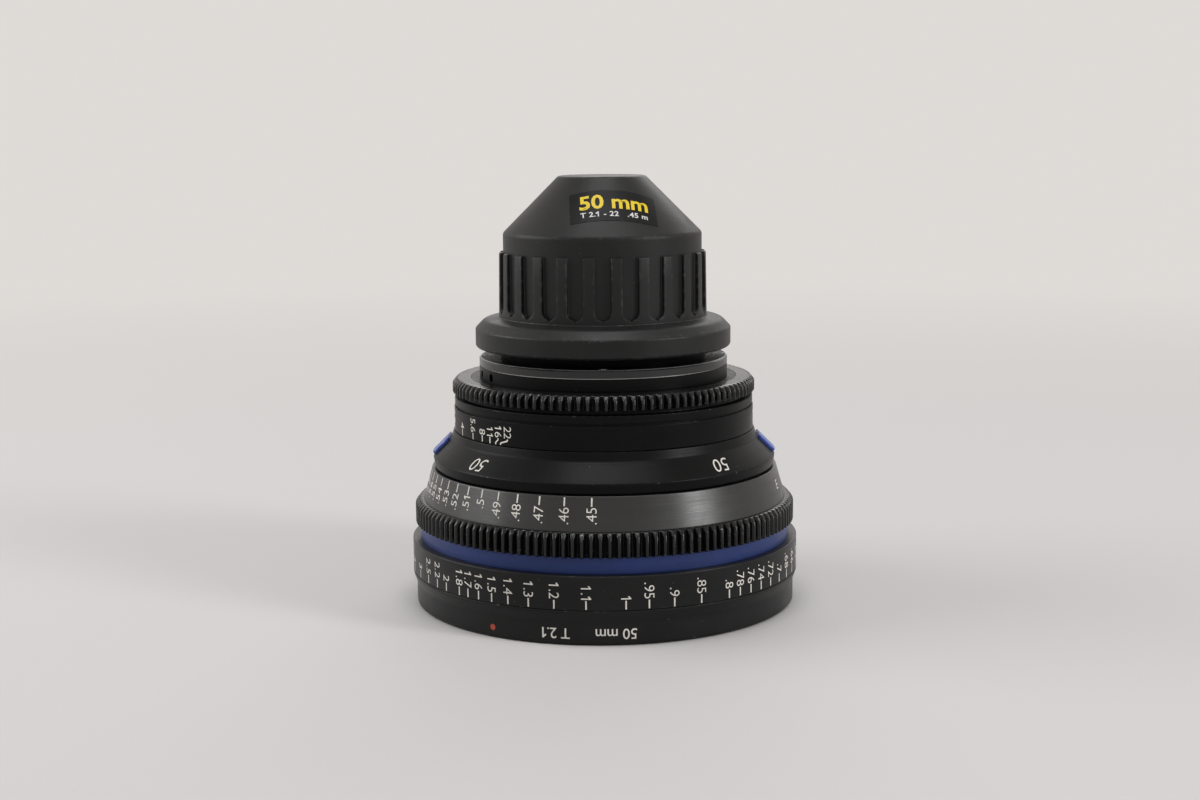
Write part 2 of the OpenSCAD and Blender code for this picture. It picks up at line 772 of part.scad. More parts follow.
module focus_ring() {
    bore_r = guide_out_r + fit_gap + free_gap;
    color(black) difference() {
        turned([
            [focus_in_r, focus_z + seat_gap], [focus_out_r, focus_z + seat_gap],
            [focus_out_r, focus_gear_top],
            [focus_cone_r1, focus_gear_top], [focus_cone_r2, cone_top], [bore_r, cone_top],
            [bore_r, cam_top], [focus_in_r, cam_top]
        ]);
        cam_screw_places()
            radial_pin(cam_screw_r + seat_gap, cam_out_r - over, focus_out_r + over, cam_screw_z);
    }
}

// Helical groove cut into the inside of the cam sleeve, one for each roller
module cam_groove() {
    end_turn = 2;
    step = 6;
    from = -(focus_turn - focus_turn_near) - end_turn;
    to = focus_turn_near + end_turn;
    steps = ceil((to - from) / step);
    function turn(i) = from + (to - from) * i / steps;
    function corner(i, r, dz) = [
        r * cos(turn(i)), r * sin(turn(i)), roller_z - cam_rise * turn(i) + dz
    ];
    points = [for (i = [0 : steps]) each [
        corner(i, cam_in_r - over, -roller_room), corner(i, cam_floor_r, -roller_room),
        corner(i, cam_floor_r, roller_room), corner(i, cam_in_r - over, roller_room)
    ]];
    sides = [for (i = [0 : steps - 1], c = [0 : 3]) let (
        a = 4 * i + c,
        b = 4 * i + (c + 1) % 4
    ) each [
        [a, b, a + 4], [b, b + 4, a + 4]
    ]];
    last = 4 * steps;
    ends = [[0, 2, 1], [0, 3, 2], [last, last + 1, last + 2], [last, last + 2, last + 3]];
    polyhedron(points, concat(sides, ends));
}

module cam_screw_places() round_circle(roller_count, 0, 60) children();

module cam_sleeve() {
    color(steel) difference() {
        tube(cam_in_r, cam_out_r, cam_z, cam_top);
        round_circle(roller_count, 0) cam_groove();
        cam_screw_places() radial_pin(cam_screw_r + seat_gap, cam_in_r + over, cam_out_r + over, cam_screw_z);
    }
}

module cam_screws() {
    color(steel) cam_screw_places()
        radial_pin(cam_screw_r, cam_in_r + over + fit_gap, focus_out_r - free_gap, cam_screw_z);
}

// Optical core

module core_carrier() {
    sleeve_in_r = front_cell_r + seat_gap;
    flange_r = front_cell_r + cell_flange_w + seat_gap;
    flange_z = carrier_web_z + cell_flange_t;
    color(dark) difference() {
        turned([
            [carrier_r - carrier_wall, carrier_z], [carrier_r, carrier_z], [carrier_r, carrier_web_top],
            [sleeve_r, carrier_web_top], [sleeve_r, housing_z], [sleeve_in_r, housing_z],
            [sleeve_in_r, flange_z], [flange_r, flange_z], [flange_r, carrier_web_z],
            [carrier_r - carrier_wall, carrier_web_z]
        ]);
        round_circle(roller_count, 0)
            radial_pin(roller_r + seat_gap, carrier_r - carrier_wall - over, carrier_r + over, roller_z);
        housing_screw_places() translate([0, 0, housing_floor_top - housing_screw_l - free_gap])
            cylinder(r = screw_hole_r, h = housing_screw_l, $fn = 48);
    }
}

module cam_rollers() {
    color(steel) round_circle(roller_count, 0)
        radial_pin(roller_r, carrier_r - carrier_wall + fit_gap, cam_floor_r - free_gap, roller_z);
}

module front_cell() {
    film = 0.02;
    seat_1 = rear_face(glass_1, glass_1[4]) + film;
    seat_2 = rear_face(glass_2, glass_2[4]) + film;
    lip_w = 0.5;
    lip_r = glass_3[4] - lip_w;
    lip_z = rear_face(glass_2, lip_r) + running_gap;
    seat_3 = front_face(glass_3, lip_r) - seat_gap;
    flange_r = front_cell_r + cell_flange_w;
    flange_z = carrier_web_z + cell_flange_t;
    mouth_step = 3.4;
    mouth_r = glass_1[4] + mouth_step;
    bore_1 = glass_1[4] + seat_gap;
    bore_2 = glass_2[4] + seat_gap;
    bore_3 = glass_3[4] + seat_gap;
    bore_ring = retainer_r + seat_gap;
    back_z = housing_z - free_gap;
    color(dark) turned([
        [mouth_r, carrier_web_z], [flange_r, carrier_web_z], [flange_r, flange_z], [front_cell_r, flange_z],
        [front_cell_r, back_z], [bore_3, back_z], [bore_3, seat_3], [lip_r, seat_3], [lip_r, lip_z],
        [bore_2, seat_2], [bore_2, seat_1], [bore_1, seat_1], [bore_1, retainer_z],
        [bore_ring, retainer_z], [bore_ring, flange_z]
    ]);
}

module front_retainer() {
    h = 2.4;
    mouth_r = glass_1[4] - 0.4;
    color(dark) turned([
        [mouth_r, retainer_z - h], [retainer_r, retainer_z - h], [retainer_r, retainer_z - seat_gap],
        [glass_1[4] - retainer_lip, retainer_z - seat_gap]
    ]);
}

module front_spacer() {
    wall = 1;
    r_in = glass_2[4] - wall;
    z0 = rear_face(glass_1, glass_2[4]) + seat_gap;
    color(dark) tube(r_in, glass_2[4], z0, front_face(glass_2, r_in) - seat_gap);
}

module lens_1() element(glass_1);
module lens_2() element(glass_2);
module lens_3() element(glass_3);
module lens_4() element(glass_4);
module lens_5() element(glass_5);
module lens_6() element(glass_6);
module lens_7() element(glass_7);

module rear_cell() {
    flange_w = 4;
    flange_r = rear_cell_r + flange_w;
    flange_top = cover_top + cell_flange_t;
    nose = 3;
    lip_w = 0.6;
    lip_r = glass_4[4] - lip_w;
    foot_z = cover_z + free_gap;
    bore_45 = glass_4[4] + seat_gap;
    bore_6 = glass_6[4] + seat_gap;
    bore_7 = glass_7[4] + seat_gap;
    seat_4 = front_face(glass_4, glass_4[4]) - seat_gap;
    seat_6 = front_face(glass_6, glass_6[4]) - seat_gap;
    seat_7 = front_face(glass_7, glass_7[4]) - seat_gap;
    color(dark) turned([
        [lip_r, foot_z], [cell_thread_r, foot_z], [cell_thread_r, cover_top], [flange_r, cover_top],
        [flange_r, flange_top], [rear_cell_r, flange_top], [rear_cell_r, rear_cell_top - nose],
        [rear_cell_r - nose, rear_cell_top], [bore_7, rear_cell_top], [bore_7, seat_7], [bore_6, seat_7],
        [bore_6, seat_6], [bore_45, seat_6], [bore_45, seat_4], [lip_r, seat_4]
    ]);
}

module rear_spacer() {
    wall = 0.9;
    r_in = glass_6[4] - wall;
    z0 = rear_face(glass_6, r_in) + seat_gap;
    color(dark) tube(r_in, glass_6[4], z0, front_face(glass_7, r_in) - seat_gap);
}

module rear_retainer() {
    r_in = glass_7[4] - retainer_w;
    color(dark) tube(r_in, glass_7[4], rear_face(glass_7, r_in) + seat_gap, rear_cell_top - free_gap);
}

// Iris

// Screws of the iris housing stand between every second pair of blade pivots
module housing_screw_places() {
    for (i = [0 : floor(iris_blades / 2) - 1])
        rotate([0, 0, (2 * i + 0.5) * blade_step])
            translate([(sleeve_r + front_cell_r) / 2, 0, 0]) children();
}

module iris_housing() {
    window_room = 2;
    window_margin = asin(fork_w / 2 / housing_in_r) + window_room;
    window_z = drive_ring_z - free_gap;
    color(dark) difference() {
        union() {
            tube(stop_hole_r, housing_r, housing_z, housing_floor_top);
            tube(housing_in_r, housing_r, housing_floor_top, cover_z);
        }
        for (i = [0 : iris_blades - 1])
            rotate([0, 0, i * blade_step]) translate([blade_pivot_r, 0, housing_z - over])
                cylinder(r = pivot_pin_r + seat_gap, h = housing_floor_t + 2 * over, $fn = 48);
        housing_screw_places() screw_hole(housing_floor_top, housing_screw_l + free_gap);
        translate([0, 0, window_z]) linear_extrude(cover_z - window_z + over)
            wedge(fork_phi - iris_close_turn - window_margin, fork_phi + iris_open_turn + window_margin);
    }
}

module housing_screws() {
    color(steel) housing_screw_places() screw(housing_floor_top, housing_screw_l);
}

module iris_cover() {
    color(dark) tube(cell_thread_r + seat_gap, housing_r, cover_z, cover_top);
}

// Place of a blade's drive pin when the blade is turned by an angle
function blade_pin(turn) = [blade_pivot_r, 0] + polar(blade_arm, blade_arm_angle + turn);

// One blade: a band with an ear at the pivot and an arm to the drive pin
module blade_outline() {
    ear_r = 1.3;
    tip_r = 0.75;
    arm_w = 1.2;
    band_start = -5;
    union() {
        intersection() {
            difference() {
                circle(r = blade_out_r);
                circle(r = blade_in_r);
            }
            rotate([0, 0, 90]) wedge(band_start, blade_sweep);
        }
        translate([blade_pivot_r, 0]) circle(r = ear_r, $fn = 48);
        translate([blade_out_r - over, -ear_r]) square([blade_pivot_r - blade_out_r + over, 2 * ear_r]);
        translate([blade_pivot_r, 0]) rotate([0, 0, blade_arm_angle]) {
            translate([0, -arm_w / 2]) square([blade_arm, arm_w]);
            translate([blade_arm, 0]) circle(r = tip_r, $fn = 48);
        }
    }
}

module iris_blade(i) {
    z = blade_z + i * blade_pitch;
    pin = blade_pin(0);
    color(dark) rotate([0, 0, i * blade_step]) translate([blade_pivot_r, 0, 0]) rotate([0, 0, blade_rest])
        translate([-blade_pivot_r, 0, 0]) {
            translate([0, 0, z]) linear_extrude(blade_t) blade_outline();
            translate([blade_pivot_r, 0, housing_z + free_gap])
                cylinder(r = pivot_pin_r, h = z + blade_t - housing_z - free_gap, $fn = 48);
            translate([pin[0], pin[1], z])
                cylinder(r = blade_pin_r, h = drive_ring_top - free_gap - z, $fn = 48);
        }
}

// Slot of the drive ring: the path of a blade's pin as the ring and the blade turn together
module drive_slot() {
    half_w = blade_pin_r + seat_gap;
    end_turn = 1.2;
    from = -iris_close_turn - end_turn;
    to = iris_open_turn + end_turn;
    steps = 40;
    function ring_turn(i) = from + (to - from) * i / steps;
    function path(i) = let (
        a = ring_turn(i),
        p = blade_pin(blade_rest - blade_ratio * a)
    ) [p[0] * cos(a) + p[1] * sin(a), p[1] * cos(a) - p[0] * sin(a)];
    function side(i) = let (
        d = path(i + 0.5) - path(i - 0.5)
    ) [-d[1], d[0]] / norm(d) * half_w;
    polygon(concat(
        [for (i = [0 : steps]) path(i) + side(i)],
        [for (i = [steps : -1 : 0]) path(i) - side(i)]
    ));
}

module iris_drive_ring() {
    slot_w = 2 * (drive_pin_r + seat_gap);
    fork_h = drive_ring_top - fork_z;
    color(steel) difference() {
        union() {
            tube(drive_ring_in_r, drive_ring_r, drive_ring_z, drive_ring_top);
            intersection() {
                tube(drive_ring_r - over, fork_out_r, drive_ring_z, drive_ring_top);
                at_phi(fork_phi) translate([0, -fork_w / 2, drive_ring_z])
                    cube([fork_out_r + over, fork_w, drive_ring_t]);
            }
            intersection() {
                tube(fork_in_r, fork_out_r, fork_z, drive_ring_top);
                at_phi(fork_phi) translate([0, -fork_w / 2, fork_z])
                    cube([fork_out_r + over, fork_w, fork_h]);
            }
        }
        for (i = [0 : iris_blades - 1])
            translate([0, 0, drive_ring_z - over]) rotate([0, 0, i * blade_step])
                linear_extrude(drive_ring_t + 2 * over) drive_slot();
        at_phi(fork_phi) translate([fork_in_r - over, -slot_w / 2, fork_z - over])
            cube([fork_t + 2 * over, slot_w, fork_top - fork_z + over]);
    }
}

// Iris ring

module iris_ring() {
    band_wall = 2.4;
    top_t = 1.5;
    sleeve_out_r = iris_in_r + iris_sleeve_wall;
    foot_z = rear_foot_top + 2 * free_gap;
    cavity_top = iris_upper_top - top_t;
    color(black) difference() {
        turned([
            [iris_in_r, foot_z], [sleeve_out_r, foot_z], [sleeve_out_r, cavity_top],
            [iris_band_r - band_wall, cavity_top], [iris_band_r - band_wall, iris_z], [iris_band_r, iris_z],
            [iris_band_r, iris_band_top], [iris_band_r - iris_groove_d, iris_band_top],
            [iris_band_r - iris_groove_d, iris_groove_top], [iris_upper_r, iris_groove_top],
            [iris_upper_r, iris_upper_top], [iris_neck_r, iris_upper_top], [iris_neck_r, iris_neck_top],
            [iris_hub_r, iris_neck_top], [iris_hub_r, iris_top], [iris_in_r, iris_top]
        ]);
        at_phi(fork_phi)
            radial_pin(drive_pin_r + seat_gap, iris_in_r - over, sleeve_out_r + over, drive_pin_z);
    }
}

module iris_gear_ring() {
    color(black) toothed_ring(iris_teeth, iris_hub_r + seat_gap, iris_neck_top, iris_gear_h);
}

module iris_drive_pin() {
    end_r = iris_in_r + iris_sleeve_wall - free_gap;
    color(steel) at_phi(fork_phi) radial_pin(drive_pin_r, fork_in_r + fit_gap, end_r, drive_pin_z);
}

// Rear cap

module rear_cap() {
    floor_z = cap_top - cap_wall;
    inner_top_r = cap_top_r + cap_wall * (1 - sqrt(2));
    inner_cone_z = floor_z - (cap_bore_r - inner_top_r);
    slot_rise = 1.3;
    slot_z = cap_grip_z + slot_rise;
    slot_reach = 4;
    color(black) difference() {
        union() {
            turned([
                [cap_rim_bore_r, cap_z], [cap_rim_r - cap_edge, cap_z], [cap_rim_r, cap_z + cap_edge],
                [cap_rim_r, cap_rim_top], [cap_rim_r - cap_edge, cap_rim_top + cap_edge],
                [cap_slope_r, cap_slope_z], [cap_grip_r1, cap_grip_z], [cap_grip_r2, cap_grip_top],
                [cap_neck_r, cap_grip_top], [cap_neck_r, cap_cone_z], [cap_top_r, cap_top], [0, cap_top],
                [0, floor_z], [inner_top_r, floor_z], [cap_bore_r, inner_cone_z], [cap_bore_r, cap_seat_z],
                [cap_rim_bore_r, cap_seat_z]
            ]);
            for (i = [0 : tabs - 1]) {
                mid = tab_phi + 45 + 90 * i;
                tube_sector(cap_rim_bore_r - cap_lug_d, cap_rim_bore_r + over, cap_lug_z,
                    cap_lug_z + cap_lug_h, mid - cap_lug_angle / 2, mid + cap_lug_angle / 2);
            }
        }
        round_circle(cap_slots, cap_slot_r, 180 / cap_slots) rotate([90, 0, 90]) linear_extrude(slot_reach) {
            translate([0, slot_z + cap_slot_w / 2]) circle(r = cap_slot_w / 2, $fn = 48);
            translate([-cap_slot_w / 2, slot_z + cap_slot_w / 2])
                square([cap_slot_w, cap_grip_top - slot_z - cap_slot_w / 2 + over]);
        }
    }
}

front_ring();
front_screws();
front_baffle();
main_barrel();
index_barrel();
index_plates();
rear_barrel();
rear_barrel_screws();
mount_shim();
breech_mount();
mount_screws();
distance_scale_ring();
colour_ring();
focus_gear_ring();
focus_ring();
cam_sleeve();
cam_screws();
core_carrier();
cam_rollers();
front_cell();
front_retainer();
front_spacer();
lens_1();
lens_2();
lens_3();
iris_housing();
housing_screws();
iris_cover();
rear_cell();
rear_spacer();
rear_retainer();
lens_4();
lens_5();
lens_6();
lens_7();
iris_drive_ring();
iris_ring();
iris_gear_ring();
iris_drive_pin();
rear_cap();
for (i = [0 : iris_blades - 1]) iris_blade(i);
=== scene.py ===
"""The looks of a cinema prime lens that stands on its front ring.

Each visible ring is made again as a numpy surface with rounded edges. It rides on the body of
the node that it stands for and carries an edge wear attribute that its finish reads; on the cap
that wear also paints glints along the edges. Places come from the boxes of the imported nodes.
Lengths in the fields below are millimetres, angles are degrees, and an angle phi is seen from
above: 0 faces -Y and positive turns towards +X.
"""

import logging
import math
from abc import ABC, abstractmethod
from dataclasses import dataclass, field
from enum import Enum
from typing import Iterable, Sequence

import bpy
import numpy as np
from mathutils import Matrix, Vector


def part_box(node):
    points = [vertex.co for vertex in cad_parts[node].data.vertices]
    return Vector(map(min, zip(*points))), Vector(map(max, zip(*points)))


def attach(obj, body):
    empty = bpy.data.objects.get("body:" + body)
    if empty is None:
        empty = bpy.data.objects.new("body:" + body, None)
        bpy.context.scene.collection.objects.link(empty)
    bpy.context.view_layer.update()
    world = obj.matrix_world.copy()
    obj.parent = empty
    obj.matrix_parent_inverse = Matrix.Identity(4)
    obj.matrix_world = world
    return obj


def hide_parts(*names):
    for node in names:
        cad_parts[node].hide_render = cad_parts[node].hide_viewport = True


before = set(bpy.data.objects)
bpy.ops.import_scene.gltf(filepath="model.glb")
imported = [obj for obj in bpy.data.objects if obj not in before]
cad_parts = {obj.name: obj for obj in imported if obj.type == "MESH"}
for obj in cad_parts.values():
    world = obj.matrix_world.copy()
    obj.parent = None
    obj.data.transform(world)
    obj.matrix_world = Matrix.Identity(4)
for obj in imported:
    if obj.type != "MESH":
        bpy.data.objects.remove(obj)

LOG = logging.getLogger("lens")
MM = 0.001
TURN = 2.0 * math.pi
# Share of the shorter side beside a corner that its rounding may take, and how far past that
# its wear may fade
ROUNDING_SHARE = 0.42
FADE_SHARE = 1.15
# Depth of a tooth below its pitch circle, in modules
DEDENDUM = 1.25
# Colours of blackened steel and of dust
STEEL_BLACK = (0.006, 0.006, 0.0063, 1.0)
DUST_GREY = (0.34, 0.33, 0.32, 1.0)
# Width of the scale lines
LINE = 0.42
# Radius at which a turned surface ends on the axis
AXIS = 0.01

Color = tuple[float, float, float]
Socket = bpy.types.NodeSocket


class Body(str, Enum):
    """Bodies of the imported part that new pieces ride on."""

    ROOT = "root"
    FOCUS = "focus"
    IRIS = "iris_ring"
    CAP = "cap"


class Grain(Enum):
    """Ways in which a surface was worked."""

    TURNED = "turned"
    BLASTED = "blasted"
    MOULDED = "moulded"
    PRINTED = "printed"


class Reading(Enum):
    """Directions in which a mark's text runs on a ring, seen from outside."""

    UP = 90.0
    DOWN = -90.0
    UPSIDE_DOWN = 180.0
    LEVEL = 0.0


def node_radius(node: str) -> float:
    """Gives the largest radius of a node about the optical axis.

    Args:
        node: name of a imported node.

    Returns:
        The radius in millimetres.
    """
    low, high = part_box(node)
    return max(high.x, -low.x, high.y, -low.y) / MM


def node_levels(node: str) -> tuple[float, float]:
    """Gives the lowest and highest level of a node.

    Args:
        node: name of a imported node.

    Returns:
        The two levels along the optical axis, in millimetres.
    """
    low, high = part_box(node)
    return low.z / MM, high.z / MM


def around(radius: np.ndarray, angle: np.ndarray, level: np.ndarray) -> np.ndarray:
    """Turns cylinder coordinates into points.

    Args:
        radius: distances from the axis, millimetres.
        angle: angles phi, radians.
        level: heights along the axis, millimetres.

    Returns:
        Points in metres, with the shape of the arrays and a last axis of three.
    """
    radius, angle, level = np.broadcast_arrays(radius, angle, level)
    return np.stack([radius * np.sin(angle), -radius * np.cos(angle), level], axis=-1) * MM


@dataclass
class Grid:
    """A surface of rows and columns of points, joined by quads.

    Attributes:
        points: places in metres, rows by columns by three.
        wear: how far each point's edge is rubbed, 0 to 1, rows by columns.
        close_rows: whether the last row meets the first.
        close_columns: whether the last column meets the first.
    """

    points: np.ndarray
    wear: np.ndarray
    close_rows: bool = False
    close_columns: bool = False

    def quads(self) -> np.ndarray:
        """Numbers the corners of every quad.

        Returns:
            An array of four point numbers for each quad.
        """
        rows, columns = self.wear.shape
        number = np.arange(rows * columns).reshape(rows, columns)
        if self.close_rows:
            number = np.vstack([number, number[:1]])
        if self.close_columns:
            number = np.hstack([number, number[:, :1]])
        corners = [number[:-1, :-1], number[:-1, 1:], number[1:, 1:], number[1:, :-1]]
        return np.stack(corners, axis=-1).reshape(-1, 4)

    def places(self) -> np.ndarray:
        """Measures every point's texture place along its row and its column.

        Returns:
            Pairs of lengths in metres, rows by columns by two.
        """
        across = np.linalg.norm(np.diff(self.points, axis=1), axis=-1).max(axis=0)
        along = np.linalg.norm(np.diff(self.points, axis=0), axis=-1).max(axis=1)
        u = np.concatenate([[0.0], np.cumsum(across)])
        v = np.concatenate([[0.0], np.cumsum(along)])
        return np.stack(np.meshgrid(u, v), axis=-1)


def bar_faces() -> np.ndarray:
    """Numbers the faces of a bar on four corners, its front first and its four sides after it.

    Corners 0 to 3 run anticlockwise round the front, and 4 to 7 lie behind them.

    Returns:
        Triangles, with no face on the back.
    """
    corner = np.arange(4)
    ahead = (corner + 1) % 4
    lower = np.stack([corner + 4, ahead + 4, ahead], 1)
    upper = np.stack([corner + 4, ahead, corner], 1)
    return np.concatenate([[[0, 1, 2], [0, 2, 3]], lower, upper])


def mesh_piece(name: str, grids: Sequence[Grid], sharp_deg: float = 40.0) -> bpy.types.Object:
    """Joins grids into one mesh object at the origin.

    Args:
        name: name of the piece.
        grids: surfaces that make up the piece.
        sharp_deg: angle above which an edge is shaded sharp.

    Returns:
        The new object, linked to the scene.
    """
    starts = np.cumsum([0] + [grid.wear.size for grid in grids])
    points = np.concatenate([grid.points.reshape(-1, 3) for grid in grids])
    wear = np.concatenate([grid.wear.ravel() for grid in grids])
    places = np.concatenate([grid.places().reshape(-1, 2) for grid in grids])
    quads = np.concatenate([grid.quads() + start for grid, start in zip(grids, starts)])
    mesh = bpy.data.meshes.new(name)
    mesh.vertices.add(len(points))
    mesh.vertices.foreach_set("co", points.ravel().astype(np.float32))
    mesh.loops.add(quads.size)
    mesh.loops.foreach_set("vertex_index", quads.ravel().astype(np.int32))
    mesh.polygons.add(len(quads))
    mesh.polygons.foreach_set("loop_start", np.arange(0, quads.size, 4, dtype=np.int32))
    mesh.polygons.foreach_set("use_smooth", np.ones(len(quads), dtype=bool))
    mesh.update(calc_edges=True)
    uv = places[quads.ravel()].ravel().astype(np.float32)
    mesh.uv_layers.new(name="UVMap").data.foreach_set("uv", uv)
    rubbed = mesh.attributes.new("wear", "FLOAT", "POINT")
    rubbed.data.foreach_set("value", wear.astype(np.float32))
    mesh.set_sharp_from_angle(angle=math.radians(sharp_deg))
    piece = bpy.data.objects.new(name, mesh)
    bpy.context.scene.collection.objects.link(piece)
    LOG.info("%s: %d points, %d quads", name, len(points), len(quads))
    return piece


@dataclass(frozen=True)
class Corner:
    """A corner of a turned section.

    Attributes:
        r: distance from the axis.
        z: level along the axis.
        ease: distance from the corner at which its rounding starts.
        wear: how far the corner is rubbed, 0 to 1.
    """

    r: float
    z: float
    ease: float = 0.15
    wear: float = 0.0


@dataclass(frozen=True)
class Section:
    """The half section of a turned piece, run upwards along its outside.

    Attributes:
        corners: corners in order.
        closed: whether the last corner joins the first.
        steps: points on each rounded corner.
        fade: distance over which wear fades beside a rounded corner.
    """

    corners: tuple[Corner, ...]
    closed: bool = True
    steps: int = 5
    fade: float = 0.3

    def line(self) -> tuple[np.ndarray, np.ndarray, np.ndarray]:
        """Rounds every corner.

        Each corner P becomes the curve (1-t)^2 A + 2t(1-t) P + t^2 B, where A and B lie on its
        two sides at the corner's ease, with one more point on each side where wear has faded.

        Returns:
            Radii, levels and wear along the section.
        """
        spots = np.array([[corner.r, corner.z] for corner in self.corners])
        ease = np.array([corner.ease for corner in self.corners])
        rubbed = np.array([corner.wear for corner in self.corners])
        back = np.roll(spots, 1, axis=0) - spots
        ahead = np.roll(spots, -1, axis=0) - spots
        if not self.closed:
            back[0] = 0.0
            ahead[-1] = 0.0
        back_length = np.linalg.norm(back, axis=1)
        ahead_length = np.linalg.norm(ahead, axis=1)
        room = ROUNDING_SHARE * np.minimum(back_length, ahead_length)
        back = back / np.maximum(back_length, 1e-9)[:, None]
        ahead = ahead / np.maximum(ahead_length, 1e-9)[:, None]
        ease = np.minimum(ease, room)[:, None]
        guard = np.minimum(ease[:, 0] + self.fade, FADE_SHARE * room)[:, None]
        t = np.linspace(0.0, 1.0, self.steps)[None, :, None]
        start = (spots + back * ease)[:, None, :]
        end = (spots + ahead * ease)[:, None, :]
        curve = (1 - t) ** 2 * start + 2 * t * (1 - t) * spots[:, None, :] + t**2 * end
        first = (spots + back * guard)[:, None, :]
        last = (spots + ahead * guard)[:, None, :]
        path = np.concatenate([first, curve, last], axis=1)
        shape = 0.4 + 0.6 * np.sin(np.pi * t[..., 0])
        edge = np.zeros((len(spots), 1))
        wear = np.concatenate([edge, rubbed[:, None] * shape, edge], axis=1)
        return path[..., 0].ravel(), path[..., 1].ravel(), wear.ravel()

    def turned(self, columns: int = 288) -> Grid:
        """Turns the section about the axis.

        Args:
            columns: number of steps round the axis.

        Returns:
            A surface with one row for each point of the section.
        """
        radius, level, wear = self.line()
        angle = np.linspace(0.0, TURN, columns, endpoint=False)
        points = around(radius[:, None], angle[None, :], level[:, None])
        return Grid(points, np.repeat(wear[:, None], columns, axis=1), self.closed, True)

    def swept(self, phi_from: float, phi_to: float, columns: int = 24) -> Grid:
        """Turns the section through part of a turn and closes both ends.

        Args:
            phi_from: first angle, degrees.
            phi_to: last angle, degrees.
            columns: number of steps between them.

        Returns:
            A closed surface, each of whose ends runs in to the section's middle.
        """
        radius, level, wear = self.line()
        angle = np.radians(np.linspace(phi_from, phi_to, columns))
        angle = np.concatenate([angle[:1], angle, angle[-1:]])
        radii = np.repeat(radius[:, None], len(angle), axis=1)
        levels = np.repeat(level[:, None], len(angle), axis=1)
        radii[:, [0, -1]] = radius.mean()
        levels[:, [0, -1]] = level.mean()
        points = around(radii, angle[None, :], levels)
        return Grid(points, np.repeat(wear[:, None], len(angle), axis=1), True, False)


@dataclass(frozen=True)
class ToothForm:
    """The outline of a fine gear with straight flanks.

    Attributes:
        teeth: number of teeth.
        module: pitch diameter for each tooth.
        pressure_deg: slope of the flanks.
        tip_ease: rounding of the tips.
        root_ease: rounding of the roots.
    """

    teeth: int
    module: float = 0.8
    pressure_deg: float = 20.0
    tip_ease: float = 0.22
    root_ease: float = 0.25

    @property
    def pitch_radius(self) -> float:
        """Radius of the pitch circle."""
        return self.module * self.teeth / 2.0

    @property
    def tip_radius(self) -> float:
        """Radius over the tips."""
        return self.pitch_radius + self.module

    def half_angle(self, radius: np.ndarray) -> np.ndarray:
        """Gives half of a tooth's angular width at some radii, in radians."""
        slope = math.tan(math.radians(self.pressure_deg))
        return (math.pi * self.module / 4.0 - (radius - self.pitch_radius) * slope) / radius

    def outline(self) -> tuple[np.ndarray, np.ndarray, np.ndarray]:
        """Lays one tooth's outline and repeats it round the circle.

        Half a tooth runs from the middle of the gap along the root, up the flank and on to the
        middle of the tip. Its mirror image completes the tooth, and the tooth centred on +X is
        the first.

        Returns:
            Angles phi in radians, radii, and how near each point is to a tip, 0 to 1.
        """
        tip, root = self.tip_radius, self.pitch_radius - DEDENDUM * self.module
        pitch = TURN / self.teeth
        radius = np.array([
            root, root, root + 0.25 * self.root_ease, root + self.root_ease, self.pitch_radius,
            tip - self.tip_ease, tip - 0.25 * self.tip_ease, tip, tip,
        ])
        angle = self.half_angle(radius)
        angle[0] = pitch / 2.0
        angle[1] += self.root_ease / root
        angle[2] += 0.25 * self.root_ease / root
        angle[6] -= 0.25 * self.tip_ease / tip
        angle[7] -= self.tip_ease / tip
        angle[8] = 0.0
        near_tip = np.clip((radius - self.pitch_radius) / self.module, 0.0, 1.0)
        angle = np.concatenate([-angle, angle[-2:0:-1]])
        radius = np.concatenate([radius, radius[-2:0:-1]])
        near_tip = np.concatenate([near_tip, near_tip[-2:0:-1]])
        centre = math.pi / 2.0 + pitch * np.arange(self.teeth)
        angles = (centre[:, None] + angle[None, :]).ravel()
        return angles, np.tile(radius, self.teeth), np.tile(near_tip, self.teeth)

    def ring(self, bore: float, low: float, high: float, chamfer: tuple[float, float]) -> Grid:
        """Makes a toothed ring with a chamfer round its upper edge.

        A row's radius is the outline's, drawn in by a little at the lower face and held below
        the chamfer's cone near the upper one.

        Args:
            bore: radius of the ring's bore.
            low: level of the lower face.
            high: level of the upper face.
            chamfer: height and depth of the chamfer.

        Returns:
            A closed surface.
        """
        angle, outline, near_tip = self.outline()
        tall, deep = chamfer
        ease = 0.18
        level = np.array([
            low, low, low + ease, high - tall, high - 0.55 * tall, high - ease, high, high,
        ])
        pull = np.array([0.0, ease, 0.0, 0.0, 0.0, 0.0, 0.5 * ease, 0.0])
        rub = np.array([0.0, 0.5, 0.5, 0.8, 1.0, 0.9, 0.5, 0.0])
        cone = self.tip_radius - deep * np.clip((level - high + tall) / tall, 0.0, 1.0)
        radius = np.minimum(outline[None, :], cone[:, None]) - pull[:, None]
        radius[[0, -1]] = bore
        points = around(radius, angle[None, :], level[:, None])
        return Grid(points, rub[:, None] * near_tip[None, :], True, True)


